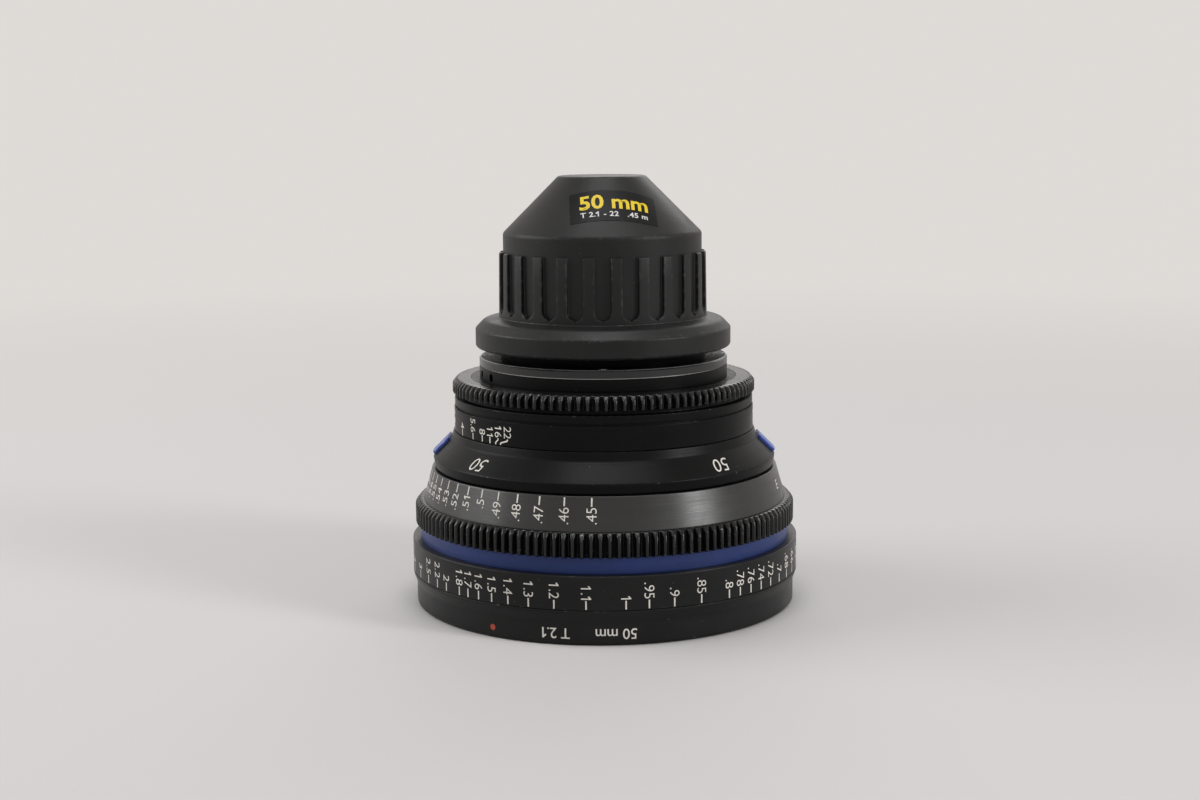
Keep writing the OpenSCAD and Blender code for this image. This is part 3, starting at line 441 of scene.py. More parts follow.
@dataclass(frozen=True)
class Band:
    """A straight band of a ring, on which marks are laid.

    Attributes:
        foot: radius and level of its lower edge.
        head: radius and level of its upper edge.
    """

    foot: tuple[float, float]
    head: tuple[float, float]

    @property
    def length(self) -> float:
        """Length of the band along its slope."""
        return math.dist(self.foot, self.head)

    def wrap(self, phi: float, x: np.ndarray, y: np.ndarray, off: np.ndarray) -> np.ndarray:
        """Lays flat places on the band.

        A place y above the foot goes that far along the slope, then x round the circle of that
        radius, and stands off along the band's normal.

        Args:
            phi: angle of the places' origin, degrees.
            x: places to the right, seen from outside.
            y: places above the band's foot.
            off: heights over the band.

        Returns:
            Points in metres.
        """
        dr = (self.head[0] - self.foot[0]) / self.length
        dz = (self.head[1] - self.foot[1]) / self.length
        radius = self.foot[0] + dr * y
        angle = math.radians(phi) + x / radius
        return around(radius + dz * off, angle, self.foot[1] + dz * y - dr * off)


@dataclass(frozen=True)
class ConePatch:
    """A flat sheet stuck on a cone of equal slopes, described on the unrolled cone.

    Attributes:
        apex: level of the cone's apex.
        right: distance of the sheet's middle to the right of the line at phi 0.
        down: distance of the sheet's middle below the apex, along the slope.
        tilt_deg: turn of the sheet, positive when its right side is higher.
    """

    apex: float
    right: float
    down: float
    tilt_deg: float

    def wrap(self, phi: float, x: np.ndarray, y: np.ndarray, off: np.ndarray) -> np.ndarray:
        """Lays flat places on the cone.

        A place on the unrolled cone at distance d from the apex and angle a goes to the radius
        d / sqrt 2 and the angle a sqrt 2, and stands off along the slope's normal.

        Args:
            phi: angle by which the sheet is turned on, degrees.
            x: places to the right of the sheet's middle.
            y: places above the sheet's middle.
            off: heights over the cone.

        Returns:
            Points in metres.
        """
        tilt = math.radians(self.tilt_deg)
        across = self.right + x * math.cos(tilt) - y * math.sin(tilt)
        below = self.down - x * math.sin(tilt) - y * math.cos(tilt)
        radius = np.hypot(across, below) / math.sqrt(2.0)
        angle = math.radians(phi) + np.arctan2(across, below) * math.sqrt(2.0)
        rise = off / math.sqrt(2.0)
        return around(radius + rise, angle, self.apex - radius + rise)


@dataclass(frozen=True)
class Lettering:
    """Letters of one style, as flat shapes with a front and a back.

    Attributes:
        weight: amount by which strokes are thickened, for letters of size 1.
        slant: lean of the letters.
        spacing: spread of the letters.
    """

    weight: float = -0.006
    slant: float = 0.0
    spacing: float = 0.98

    def shape(self, text: str, align: str) -> tuple[np.ndarray, np.ndarray]:
        """Makes the letters of a text at size 1, with a flag on each one.

        A flag is a slanting bar from the top of the stem down to its left. It stands where the
        text up to that digit ends.

        Args:
            text: what is written.
            align: side of the text that its origin is on, LEFT, CENTER or RIGHT.

        Returns:
            Points, whose third coordinate is 0.5 in front and -0.5 behind, and triangles.
        """
        points, triangles = self.plain(text)
        width = points[:, 0].max()
        stem, _ = self.plain("1")
        tall, thick = stem[:, 1].max(), np.ptp(stem[:, 0])
        flag = np.array([[0.0, 0.0], [-2.0, -1.3], [-2.0, -2.6], [0.0, -1.45]]) * thick
        bar = bar_faces()
        for i in (i for i, letter in enumerate(text) if letter == "1"):
            right = self.plain(text[:i + 1])[0][:, 0].max()
            flat = np.tile(flag + [right - 0.5 * thick, tall], (2, 1))
            triangles = np.concatenate([triangles, bar + len(points)])
            depth = np.repeat([0.5, -0.5], 4)
            points = np.concatenate([points, np.column_stack([flat, depth])])
        points[:, 0] -= width * {"LEFT": 0.0, "CENTER": 0.5, "RIGHT": 1.0}[align]
        return points, triangles

    def plain(self, text: str) -> tuple[np.ndarray, np.ndarray]:
        """Makes the letters of a text as the font has them.

        Args:
            text: what is written, from the origin to the right.

        Returns:
            Points and triangles.
        """
        curve = bpy.data.curves.new("letters", "FONT")
        curve.body = text
        curve.extrude = 0.5
        curve.offset = self.weight
        curve.shear = self.slant
        curve.space_character = self.spacing
        curve.resolution_u = 3
        holder = bpy.data.objects.new("letters", curve)
        bpy.context.scene.collection.objects.link(holder)
        depsgraph = bpy.context.evaluated_depsgraph_get()
        mesh = bpy.data.meshes.new_from_object(holder.evaluated_get(depsgraph))
        mesh.calc_loop_triangles()
        points = np.empty(3 * len(mesh.vertices), dtype=np.float32)
        triangles = np.empty(3 * len(mesh.loop_triangles), dtype=np.int32)
        mesh.vertices.foreach_get("co", points)
        mesh.loop_triangles.foreach_get("vertices", triangles)
        bpy.data.objects.remove(holder)
        bpy.data.curves.remove(curve)
        bpy.data.meshes.remove(mesh)
        return points.reshape(-1, 3).astype(float), triangles.reshape(-1, 3)

    def digit_height(self) -> float:
        """Measures the height of a digit at size 1."""
        points, _ = self.plain("1")
        return float(np.ptp(points[:, 1]))


@dataclass(frozen=True)
class Word:
    """A short text on a band.

    Attributes:
        text: what is written.
        phi: angle at which it stands, degrees.
        level: place of its anchor above the band's foot.
        height: height of its digits.
        reading: direction in which it runs.
        align: side of the text that its anchor is on.
        shift: move of its anchor to the right.
    """

    text: str
    phi: float
    level: float
    height: float
    reading: Reading = Reading.DOWN
    align: str = "RIGHT"
    shift: float = 0.0


@dataclass(frozen=True)
class Stroke:
    """A straight line on a band.

    Attributes:
        phi: angle at which it stands, degrees.
        start: first end, to the right of phi and above the band's foot.
        end: other end.
        width: thickness of the line.
    """

    phi: float
    start: tuple[float, float]
    end: tuple[float, float]
    width: float = 0.5


@dataclass
class MarkSheet:
    """Painted words and lines on one band, gathered into one piece.

    Attributes:
        band: where they are laid.
        style: letters of the words.
        lift: height of the paint over the band.
        sink: depth to which the paint's sides reach under the band.
        points: places gathered so far.
        triangles: faces gathered so far.
    """

    band: Band | ConePatch
    style: Lettering = field(default_factory=Lettering)
    lift: float = 0.03
    sink: float = 0.05
    points: list[np.ndarray] = field(default_factory=list)
    triangles: list[np.ndarray] = field(default_factory=list)

    def add(self, points: np.ndarray, triangles: np.ndarray) -> None:
        """Keeps one shape.

        Args:
            points: its places in metres.
            triangles: its faces.
        """
        start = sum(len(kept) for kept in self.points)
        self.points.append(points)
        self.triangles.append(triangles + start)

    def write(self, words: Iterable[Word]) -> None:
        """Lays words on the band, each turned by the angle of its reading direction.

        Args:
            words: texts and their places.
        """
        tall = self.style.digit_height()
        for word in words:
            flat, triangles = self.style.shape(word.text, word.align)
            size = word.height / tall
            x = flat[:, 0] * size
            y = flat[:, 1] * size - word.height / 2.0
            turn = math.radians(word.reading.value)
            right = word.shift + x * math.cos(turn) - y * math.sin(turn)
            above = word.level + x * math.sin(turn) + y * math.cos(turn)
            off = np.where(flat[:, 2] > 0.0, self.lift, -self.sink)
            self.add(self.band.wrap(word.phi, right, above, off), triangles)

    def draw(self, strokes: Iterable[Stroke]) -> None:
        """Lays straight lines on the band, as thin bars.

        Args:
            strokes: lines and their places.
        """
        bar = bar_faces()
        for stroke in strokes:
            start, end = np.array(stroke.start), np.array(stroke.end)
            along = (end - start) / np.linalg.norm(end - start)
            side = np.array([along[1], -along[0]]) * stroke.width / 2.0
            ring = np.array([start - side, start + side, end + side, end - side])
            flat = np.concatenate([ring, ring])
            off = np.repeat([self.lift, -self.sink], 4)
            self.add(self.band.wrap(stroke.phi, flat[:, 0], flat[:, 1], off), bar)

    def dot(self, phi: float, level: float, radius: float, count: int = 32) -> None:
        """Lays a round dot on the band.

        Args:
            phi: angle at which it stands, degrees.
            level: height of its middle above the band's foot.
            radius: its radius.
            count: corners of its rim.
        """
        angle = np.linspace(0.0, TURN, count, endpoint=False)
        x = np.concatenate([[0.0], radius * np.cos(angle), radius * np.cos(angle)])
        y = level + np.concatenate([[0.0], radius * np.sin(angle), radius * np.sin(angle)])
        off = np.repeat([self.lift, -self.sink], [count + 1, count])
        rim = np.arange(count) + 1
        ahead = np.roll(rim, -1)
        face = np.stack([np.zeros(count, dtype=int), rim, ahead], 1)
        lower = np.stack([rim, rim + count, ahead + count], 1)
        upper = np.stack([rim, ahead + count, ahead], 1)
        self.add(self.band.wrap(phi, x, y, off), np.concatenate([face, lower, upper]))

    def piece(self, name: str) -> bpy.types.Object:
        """Joins all that was laid into one mesh object at the origin.

        Args:
            name: name of the piece.

        Returns:
            The new object, linked to the scene.
        """
        mesh = bpy.data.meshes.new(name)
        mesh.from_pydata(np.concatenate(self.points), [], np.concatenate(self.triangles))
        mesh.update()
        marks = bpy.data.objects.new(name, mesh)
        bpy.context.scene.collection.objects.link(marks)
        LOG.info("%s: %d points", name, len(mesh.vertices))
        return marks


class Graph:
    """Makes the nodes of one material, and joins them."""

    def __init__(self, name: str) -> None:
        """Starts an empty material.

        Args:
            name: name of the material.
        """
        self.material = bpy.data.materials.new(name)
        self.material.use_nodes = True
        self.tree = self.material.node_tree
        self.tree.nodes.clear()

    def feed(self, socket: Socket, value: object) -> None:
        """Links a socket to another one, or sets its own value.

        Args:
            socket: input that is fed.
            value: output of a node, or a number, vector or colour.
        """
        if isinstance(value, Socket):
            self.tree.links.new(value, socket)
        else:
            socket.default_value = value

    def node(
        self, kind: str, inputs: dict[str, object] | None = None, **settings: object,
    ) -> bpy.types.Node:
        """Adds a node.

        Args:
            kind: type of the node.
            inputs: values of its named inputs.
            **settings: its properties.

        Returns:
            The node.
        """
        made = self.tree.nodes.new(kind)
        for key, value in settings.items():
            setattr(made, key, value)
        for key, value in (inputs or {}).items():
            self.feed(made.inputs[key], value)
        return made

    def place(self) -> Socket:
        """Gives the object coordinates, which are the surface's place in metres."""
        return self.node("ShaderNodeTexCoord").outputs["Object"]

    def noise(self, place: Socket, scale: float, detail: float = 2.0, rough: float = 0.5) -> Socket:
        """Gives a cloudy value about 0.5, of so many features in a metre and finer layers."""
        inputs = {"Vector": place, "Scale": scale, "Detail": detail, "Roughness": rough}
        return self.node("ShaderNodeTexNoise", inputs).outputs["Fac"]

    def calc(self, operation: str, first: object, second: object = 0.0) -> Socket:
        """Adds a sum of two values.

        Args:
            operation: kind of sum.
            first: first value.
            second: other value.

        Returns:
            The result.
        """
        made = self.node("ShaderNodeMath", operation=operation)
        self.feed(made.inputs[0], first)
        self.feed(made.inputs[1], second)
        return made.outputs[0]

    def span(
        self, value: Socket, low: float, high: float, first: float = 0.0, last: float = 1.0,
    ) -> Socket:
        """Maps one range of a value to another, smoothly and within it.

        Args:
            value: what is mapped.
            low: lower end of its range.
            high: upper end of its range.
            first: result at the lower end.
            last: result at the upper end.

        Returns:
            The mapped value.
        """
        inputs = {
            "Value": value, "From Min": low, "From Max": high, "To Min": first, "To Max": last,
        }
        made = self.node("ShaderNodeMapRange", inputs, interpolation_type="SMOOTHSTEP")
        return made.outputs["Result"]

    def blend(self, share: object, first: object, second: object) -> Socket:
        """Mixes two colours.

        Args:
            share: part of the second colour.
            first: first colour.
            second: second colour.

        Returns:
            The mixture.
        """
        made = self.node("ShaderNodeMix", data_type="RGBA")
        self.feed(made.inputs[0], share)
        self.feed(made.inputs[6], first)
        self.feed(made.inputs[7], second)
        return made.outputs[2]

    def bump(self, height: Socket, depth: float) -> Socket:
        """Gives the normal of a surface with a pattern of so many millimetres' depth."""
        inputs = {"Height": height, "Distance": depth * MM, "Strength": 1.0}
        return self.node("ShaderNodeBump", inputs).outputs["Normal"]

    def close(self, shader: Socket) -> bpy.types.Material:
        """Joins the last shader to the output, and gives the finished material."""
        self.node("ShaderNodeOutputMaterial", {"Surface": shader})
        return self.material


def opaque(color: Color) -> tuple[float, float, float, float]:
    """Adds full cover to a colour.

    Args:
        color: red, green and blue.

    Returns:
        The colour with its cover.
    """
    return (*color, 1.0)


@dataclass(frozen=True)
class Finish:
    """An opaque surface with grain, clouding, dust and rubbed edges; some finishes also paint a
    highlight on a rubbed edge or paint shade in a dull zone.

    Attributes:
        name: name of its material.
        slot: material slot of the record that it belongs to.
        color: base colour.
        roughness: mean roughness.
        grain: how the surface was worked.
        grain_depth: height of the grain, millimetres.
        metallic: share of metal in the base.
        specular: strength of its plain reflection.
        mottle: part by which the base colour varies.
        dust: share of small pale specks.
        bare: colour that rubbing lays open; on the cap it also paints glints along the edges.
        rub: part of the rubbed edges that is laid open.
        black_below: level below which the surface is blackened, millimetres.
        matt_shade_within: radius within which the blackened surface loses its reflection, a painted
            shade for the shadow under the cap's rim, millimetres.
        worn_highlight_rim: radius and level outside and above which its edge is rubbed down to bare
            steel, partly wear and partly a painted highlight line, millimetres.
    """

    name: str
    slot: str
    color: Color
    roughness: float
    grain: Grain
    grain_depth: float = 0.01
    metallic: float = 0.0
    specular: float = 0.5
    mottle: float = 0.25
    dust: float = 0.0
    bare: Color = (0.42, 0.42, 0.43)
    rub: float = 0.0
    black_below: float | None = None
    matt_shade_within: float = 0.0
    worn_highlight_rim: tuple[float, float] = (0.0, 0.0)

    @staticmethod
    def reach(graph: Graph, place: Socket) -> Socket:
        """Measures the distance from the lens's axis.

        Args:
            graph: material in the making.
            place: object coordinates.

        Returns:
            The distance in metres.
        """
        flat = graph.node("ShaderNodeVectorMath", operation="MULTIPLY")
        graph.feed(flat.inputs[0], place)
        flat.inputs[1].default_value = (1.0, 1.0, 0.0)
        away = graph.node("ShaderNodeVectorMath", operation="LENGTH")
        graph.feed(away.inputs[0], flat.outputs["Vector"])
        return away.outputs["Value"]

    def pattern(self, graph: Graph, place: Socket) -> Socket:
        """Makes the grain: rings round the axis for turned work, and clouds for the rest.

        Args:
            graph: material in the making.
            place: object coordinates.

        Returns:
            A value about 0.5.
        """
        if self.grain is Grain.TURNED:
            level = graph.node("ShaderNodeSeparateXYZ", {"Vector": place}).outputs["Z"]
            drift = graph.calc("MULTIPLY", graph.noise(place, 25.0), 0.0004)
            lines = {"X": self.reach(graph, place), "Z": graph.calc("ADD", level, drift)}
            rings = graph.node("ShaderNodeCombineXYZ", lines).outputs["Vector"]
            return graph.noise(rings, 4200.0, 2.0, 0.6)
        scale = {Grain.BLASTED: 5200.0, Grain.MOULDED: 2400.0, Grain.PRINTED: 3000.0}[self.grain]
        return graph.noise(place, scale, 3.0, 0.6)

    def build(self) -> bpy.types.Material:
        """Makes the material.

        Returns:
            A material on object coordinates and the wear attribute.
        """
        graph = Graph(self.name)
        place = graph.place()
        grain = self.pattern(graph, place)
        cloud = graph.noise(place, 60.0, 4.0, 0.6)
        deep = tuple(part * (1.0 - self.mottle) for part in self.color)
        pale = tuple(min(1.0, part * (1.0 + self.mottle)) for part in self.color)
        clouded, grained = graph.calc("MULTIPLY", cloud, 0.6), graph.calc("MULTIPLY", grain, 0.4)
        tone = graph.calc("ADD", clouded, grained)
        color = graph.blend(graph.span(tone, 0.34, 0.66), opaque(deep), opaque(pale))
        clouded = graph.span(cloud, 0.3, 0.7, -0.05, 0.05)
        grained = graph.span(grain, 0.2, 0.8, -0.06, 0.06)
        rough = graph.calc("ADD", graph.calc("ADD", clouded, grained), self.roughness)
        metal: object = self.metallic
        shine: object = self.specular
        if self.black_below is not None:
            level = graph.node("ShaderNodeSeparateXYZ", {"Vector": place}).outputs["Z"]
            away = self.reach(graph, place)
            black = self.black_below
            steel = graph.span(level, (black - 0.02) * MM, (black + 0.02) * MM)
            # Bare steel round the top chamfer: partly a rubbed edge, partly a painted highlight
            # line that stands in for the chamfer's reflection
            rim = [
                graph.span(at, (edge + 0.05) * MM, (edge + 0.15) * MM)
                for at, edge in zip((away, level), self.worn_highlight_rim)
            ]
            worn_highlight = graph.calc("MULTIPLY", graph.calc("MULTIPLY", *rim), 0.9)
            steel = graph.calc("MAXIMUM", steel, worn_highlight)
            color = graph.blend(steel, STEEL_BLACK, color)
            metal = graph.calc("MULTIPLY", steel, self.metallic)
            # Inside this radius the blackened steel hardly reflects: painted shade under the cap's
            # rim
            matt_shade = self.matt_shade_within
            shine = graph.span(away, matt_shade * MM, (matt_shade + 0.2) * MM, 0.05, 1.0)
            shine = graph.calc("MULTIPLY", graph.calc("MAXIMUM", shine, steel), self.specular)
        if self.dust > 0.0:
            specks = graph.span(graph.noise(place, 1900.0, 1.0), 0.76 - 0.06 * self.dust, 0.82)
            patches = graph.span(graph.noise(place, 140.0), 0.45, 0.7, 0.0, 0.5)
            color = graph.blend(graph.calc("MULTIPLY", specks, patches), color, DUST_GREY)
        # Rubbed edges lay open the bare colour and turn metallic; on the cap's plastic this also
        # paints glints along the rim and the rib tops
        if self.rub > 0.0:
            wear = graph.node("ShaderNodeAttribute", attribute_name="wear").outputs["Fac"]
            chips = graph.span(graph.noise(place, 520.0, 5.0, 0.65), 0.62 - 0.3 * self.rub, 0.74)
            share = graph.calc("MULTIPLY", wear, chips)
            color = graph.blend(share, color, opaque(self.bare))
            metal = graph.calc("MAXIMUM", metal, graph.calc("MULTIPLY", share, 0.85))
            rough = graph.calc("SUBTRACT", rough, graph.calc("MULTIPLY", share, 0.08))
        inputs = {
            "Base Color": color, "Roughness": rough, "Metallic": metal,
            "Specular IOR Level": shine, "Normal": graph.bump(grain, self.grain_depth),
        }
        return graph.close(graph.node("ShaderNodeBsdfPrincipled", inputs).outputs["BSDF"])


@dataclass(frozen=True)
class CoatedGlass:
    """Polished glass with a thin coating and a few dust specks.

    Attributes:
        name: name of its material.
        slot: material slot of the record that it belongs to.
        tint: colour of the glass.
        index: refractive index.
        coating: thickness of the coating, nanometres.
    """

    name: str
    slot: str
    tint: Color
    index: float = 1.62
    coating: float = 112.0

    def build(self) -> bpy.types.Material:
        """Makes the material.

        Returns:
            A clear material whose roughness rises at the specks.
        """
        graph = Graph(self.name)
        place = graph.place()
        specks = graph.span(graph.noise(place, 1500.0, 1.0), 0.74, 0.8, 0.008, 0.3)
        haze = graph.span(graph.noise(place, 90.0, 3.0), 0.5, 0.8, 0.0, 0.02)
        inputs = {
            "Base Color": opaque(self.tint), "Roughness": graph.calc("ADD", specks, haze),
            "IOR": self.index, "Transmission Weight": 1.0,
            "Thin Film Thickness": self.coating, "Thin Film IOR": 1.38,
        }
        return graph.close(graph.node("ShaderNodeBsdfPrincipled", inputs).outputs["BSDF"])


BLACK = Finish(
    "black_anodised", "black_anodised", (0.0055, 0.0055, 0.0056), 0.36, Grain.TURNED, 0.005,
    specular=0.24, dust=0.35, bare=(0.16, 0.16, 0.165), rub=0.12,
)
SATIN = Finish(
    "satin_anodised", "black_anodised", (0.0055, 0.0055, 0.0056), 0.34, Grain.TURNED, 0.005,
    specular=0.6, dust=0.35, bare=(0.16, 0.16, 0.165), rub=0.12,
)
# A darker, duller copy of the black anodised finish: painted shade for the parts that the dim
# surroundings in front leave darker
SHADED_BLACK = Finish(
    "shaded_black_anodised", "black_anodised", (0.0024, 0.0024, 0.0025), 0.38, Grain.TURNED, 0.005,
    specular=0.11, dust=0.25, bare=(0.13, 0.13, 0.134), rub=0.12,
)
GEAR = Finish(
    "gear_anodised", "gear_anodised", (0.0032, 0.0032, 0.0034), 0.21, Grain.BLASTED, 0.002,
    specular=0.36, dust=0.2, bare=(0.24, 0.24, 0.245), rub=0.06,
)
INNER = Finish(
    "inner_black", "inner_black", (0.008, 0.008, 0.0083), 0.72, Grain.BLASTED, 0.01,
    specular=0.25,
)
BLUE = Finish(
    "blue_anodised", "blue_anodised", (0.016, 0.035, 0.15), 0.4, Grain.TURNED, 0.005,
    specular=0.3, mottle=0.12, bare=(0.2, 0.21, 0.26), rub=0.1,
)
PLATE = Finish(
    "blue_plate", "blue_plate", (0.035, 0.075, 0.36), 0.34, Grain.PRINTED, 0.004,
    mottle=0.1, bare=(0.3, 0.33, 0.45), rub=0.2,
)
# Cap plastic whose rubbed edges are partly wear and partly painted glints along the rim and the rib
# tops
PLASTIC = Finish(
    "cap_plastic", "cap_plastic", (0.0078, 0.0078, 0.0078), 0.46, Grain.MOULDED, 0.018,
    specular=0.26, mottle=0.3, dust=0.5, bare=(0.085, 0.085, 0.084), rub=0.5,
)
SCREW = Finish("screw_steel", "screw_steel", (0.40, 0.40, 0.41), 0.34, Grain.TURNED, 0.004, 1.0)
# Blackened below 76.9 mm; the bare steel ring round its chamfer is partly wear and partly a painted
# highlight line
MOUNT = Finish(
    "mount_steel", "mount_steel", (0.52, 0.52, 0.53), 0.28, Grain.TURNED, 0.004, 1.0,
    # The painted shade under the cap's rim reaches out to the radius given below
    mottle=0.12, black_below=76.9, matt_shade_within=35.6, worn_highlight_rim=(35.8, 72.28),
)
SHIM = Finish(
    "shim_steel", "mount_steel", (0.46, 0.46, 0.46), 0.35, Grain.BLASTED, 0.003, 1.0,
    mottle=0.1,
)
BRONZE = Finish(
    "cam_bronze", "cam_bronze", (0.44, 0.29, 0.12), 0.32, Grain.TURNED, 0.005, 1.0,
    mottle=0.2,
)
BLADE = Finish("blade_steel", "blade_steel", (0.05, 0.05, 0.054), 0.42, Grain.BLASTED, 0.003, 0.6)
GLASS = CoatedGlass("coated_glass", "coated_glass", (0.93, 0.96, 0.97))
PAINT = Finish(
    "mark_paint", "black_anodised", (0.79, 0.76, 0.70), 0.55, Grain.PRINTED, 0.004,
    mottle=0.12,
)
RED = Finish(
    "red_paint", "black_anodised", (0.42, 0.06, 0.025), 0.55, Grain.PRINTED, 0.004,
    mottle=0.14,
)
LABEL = Finish(
    "label_film", "cap_plastic", (0.0035, 0.0035, 0.0037), 0.42, Grain.PRINTED, 0.003,
    specular=0.14, mottle=0.3, dust=0.3, bare=(0.07, 0.07, 0.07), rub=1.0,
)
YELLOW = Finish(
    "label_yellow", "cap_plastic", (0.82, 0.60, 0.01), 0.5, Grain.PRINTED, 0.003,
    mottle=0.08,
)
WHITE = Finish(
    "label_white", "cap_plastic", (0.72, 0.72, 0.71), 0.5, Grain.PRINTED, 0.003,
    mottle=0.08,
)


class Wardrobe:
    """Makes each finish once and puts it on pieces and nodes."""

    def __init__(self) -> None:
        """Starts with no material made."""
        self.made: dict[str, bpy.types.Material] = {}

    def material(self, finish: Finish | CoatedGlass) -> bpy.types.Material:
        """Gives a finish's material.

        Args:
            finish: what is wanted.

        Returns:
            The one material of that finish.
        """
        if finish.name not in self.made:
            self.made[finish.name] = finish.build()
        return self.made[finish.name]

    def piece(self, shown: bpy.types.Object, finish: Finish | CoatedGlass) -> None:
        """Dresses a new piece in a finish."""
        shown.data.materials.append(self.material(finish))

    def node(self, name: str, finish: Finish | CoatedGlass) -> None:
        """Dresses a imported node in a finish."""
        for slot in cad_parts[name].material_slots:
            slot.material = self.material(finish)


@dataclass
class SubAssembly(ABC):
    """Pieces that belong together, and the imported nodes that stay as they are.

    Attributes:
        wardrobe: where finishes come from.
        shown: new pieces and their finishes.
    """

    wardrobe: Wardrobe
    shown: list[tuple[bpy.types.Object, Finish]] = field(default_factory=list)

    @abstractmethod
    def build(self) -> None:
        """Makes the meshes."""

    def kept(self) -> dict[str, Finish | CoatedGlass]:
        """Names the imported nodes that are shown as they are, with their finishes."""
        return {}

    def put(self, shown: bpy.types.Object, body: Body, finish: Finish, *nodes: str) -> None:
        """Sets a new piece on its body.

        Args:
            shown: object of the piece.
            body: body that it rides on.
            finish: what it will get.
            *nodes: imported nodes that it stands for.
        """
        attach(shown, body.value)
        if nodes:
            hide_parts(*nodes)
        self.shown.append((shown, finish))

    def dress(self) -> None:
        """Gives every piece and every kept node its finish."""
        for shown, finish in self.shown:
            self.wardrobe.piece(shown, finish)
        for name, finish in self.kept().items():
            self.wardrobe.node(name, finish)

    def make(self) -> None:
        """Builds and dresses the whole."""
        self.build()
        self.dress()


@dataclass
class FrontGroup(SubAssembly):
    """The fixed front ring, its screws and the baffle behind it.

    Attributes:
        band_inset: step from the ring's rim to its straight band.
        band_height: height of that band.
        lip_height: height of the full-width lip on top.
        chamfer: chamfer of the lower edge.
        bore: radius of the accessory bore.
        bore_depth: depth of that bore.
        web_radius: radius of the hole in the web.
        web_top: upper level of the web.
        pocket: radius of the seat above the web.
        words: texts on the band and their angles.
        word_level: level of the texts' middle.
        word_height: height of their digits.
        dot: angle, level and radius of the coloured dot.
    """

    band_inset: float = 1.0
    band_height: float = 6.6
    lip_height: float = 0.7
    chamfer: float = 0.6
    bore: float = 47.5
    bore_depth: float = 4.62
    web_radius: float = 42.0
    web_top: float = 7.0
    pocket: float = 48.5
    words: tuple[tuple[str, float], ...] = (("50 mm", 3.0), ("T 2.1", -14.0))
    word_level: float = 3.3
    word_height: float = 2.9
    dot: tuple[float, float, float] = (-33.7, 3.0, 0.85)

    def build(self) -> None:
        """Turns the ring and lays its marks."""
        rim = node_radius("front_ring")
        low, high = node_levels("front_ring")
        band = rim - self.band_inset
        section = Section((
            Corner(self.bore, low, 0.25, 0.3), Corner(band - self.chamfer, low, 0.25, 0.5),
            Corner(band, low + self.chamfer, 0.3, 0.5), Corner(band, self.band_height, 0.5),
            Corner(rim, high - self.lip_height, 0.35), Corner(rim, high, 0.14, 0.9),
            Corner(self.pocket, high), Corner(self.pocket, self.web_top),
            Corner(self.web_radius, self.web_top),
            Corner(self.web_radius, self.bore_depth, 0.2, 0.3),
            Corner(self.bore, self.bore_depth, 0.05),
        ))
        self.put(mesh_piece("front_ring_skin", [section.turned()]), Body.ROOT, BLACK, "front_ring")
        face = Band((band, low), (band, self.band_height))
        words = MarkSheet(face, Lettering(weight=0.004))
        words.write(
            Word(text, phi, self.word_level, self.word_height, Reading.UPSIDE_DOWN, "CENTER")
            for text, phi in self.words
        )
        self.put(words.piece("front_marks"), Body.ROOT, PAINT)
        spot = MarkSheet(face)
        spot.dot(*self.dot)
        self.put(spot.piece("front_dot"), Body.ROOT, RED)

    def kept(self) -> dict[str, Finish | CoatedGlass]:
        """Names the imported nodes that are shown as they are, with their finishes."""
        return {"front_screws": SCREW, "front_baffle": INNER, "main_barrel": INNER}


@dataclass(frozen=True)
class DistanceScale:
    """A row of focus distances round a ring.

    Attributes:
        start: angle of the mark at the reference extension, degrees.
        reference: extension at that mark, millimetres.
        rate: degrees for each millimetre of extension.
        focal: focal length.
        labels: distances in metres, as they are written.
    """

    start: float
    reference: float
    rate: float
    focal: float = 50.0
    labels: tuple[str, ...] = (
        ".45", ".46", ".47", ".48", ".49", ".5", ".51", ".52", ".53", ".54", ".55", ".56",
        ".57", ".58", ".59", ".6", ".62", ".64", ".66", ".68", ".7", ".72", ".74", ".76",
        ".78", ".8", ".85", ".9", ".95", "1", "1.1", "1.2", "1.3", "1.4", "1.5", "1.6",
        "1.7", "1.8", "2", "2.2", "2.5", "3", "4", "5",
    )

    def phi(self, label: str) -> float:
        """Places a distance on the ring.

        A thin lens at object-to-image distance d stands forward by e, the smaller root of
        e + f = (d - sqrt(d^2 - 4 d f)) / 2, and the ring turns in proportion to e.

        Args:
            label: distance in metres, as written.

        Returns:
            Its angle in degrees.
        """
        distance = 1000.0 * float(label)
        image = (distance - math.sqrt(distance**2 - 4.0 * self.focal * distance)) / 2.0
        return self.start + self.rate * (image - self.focal - self.reference)


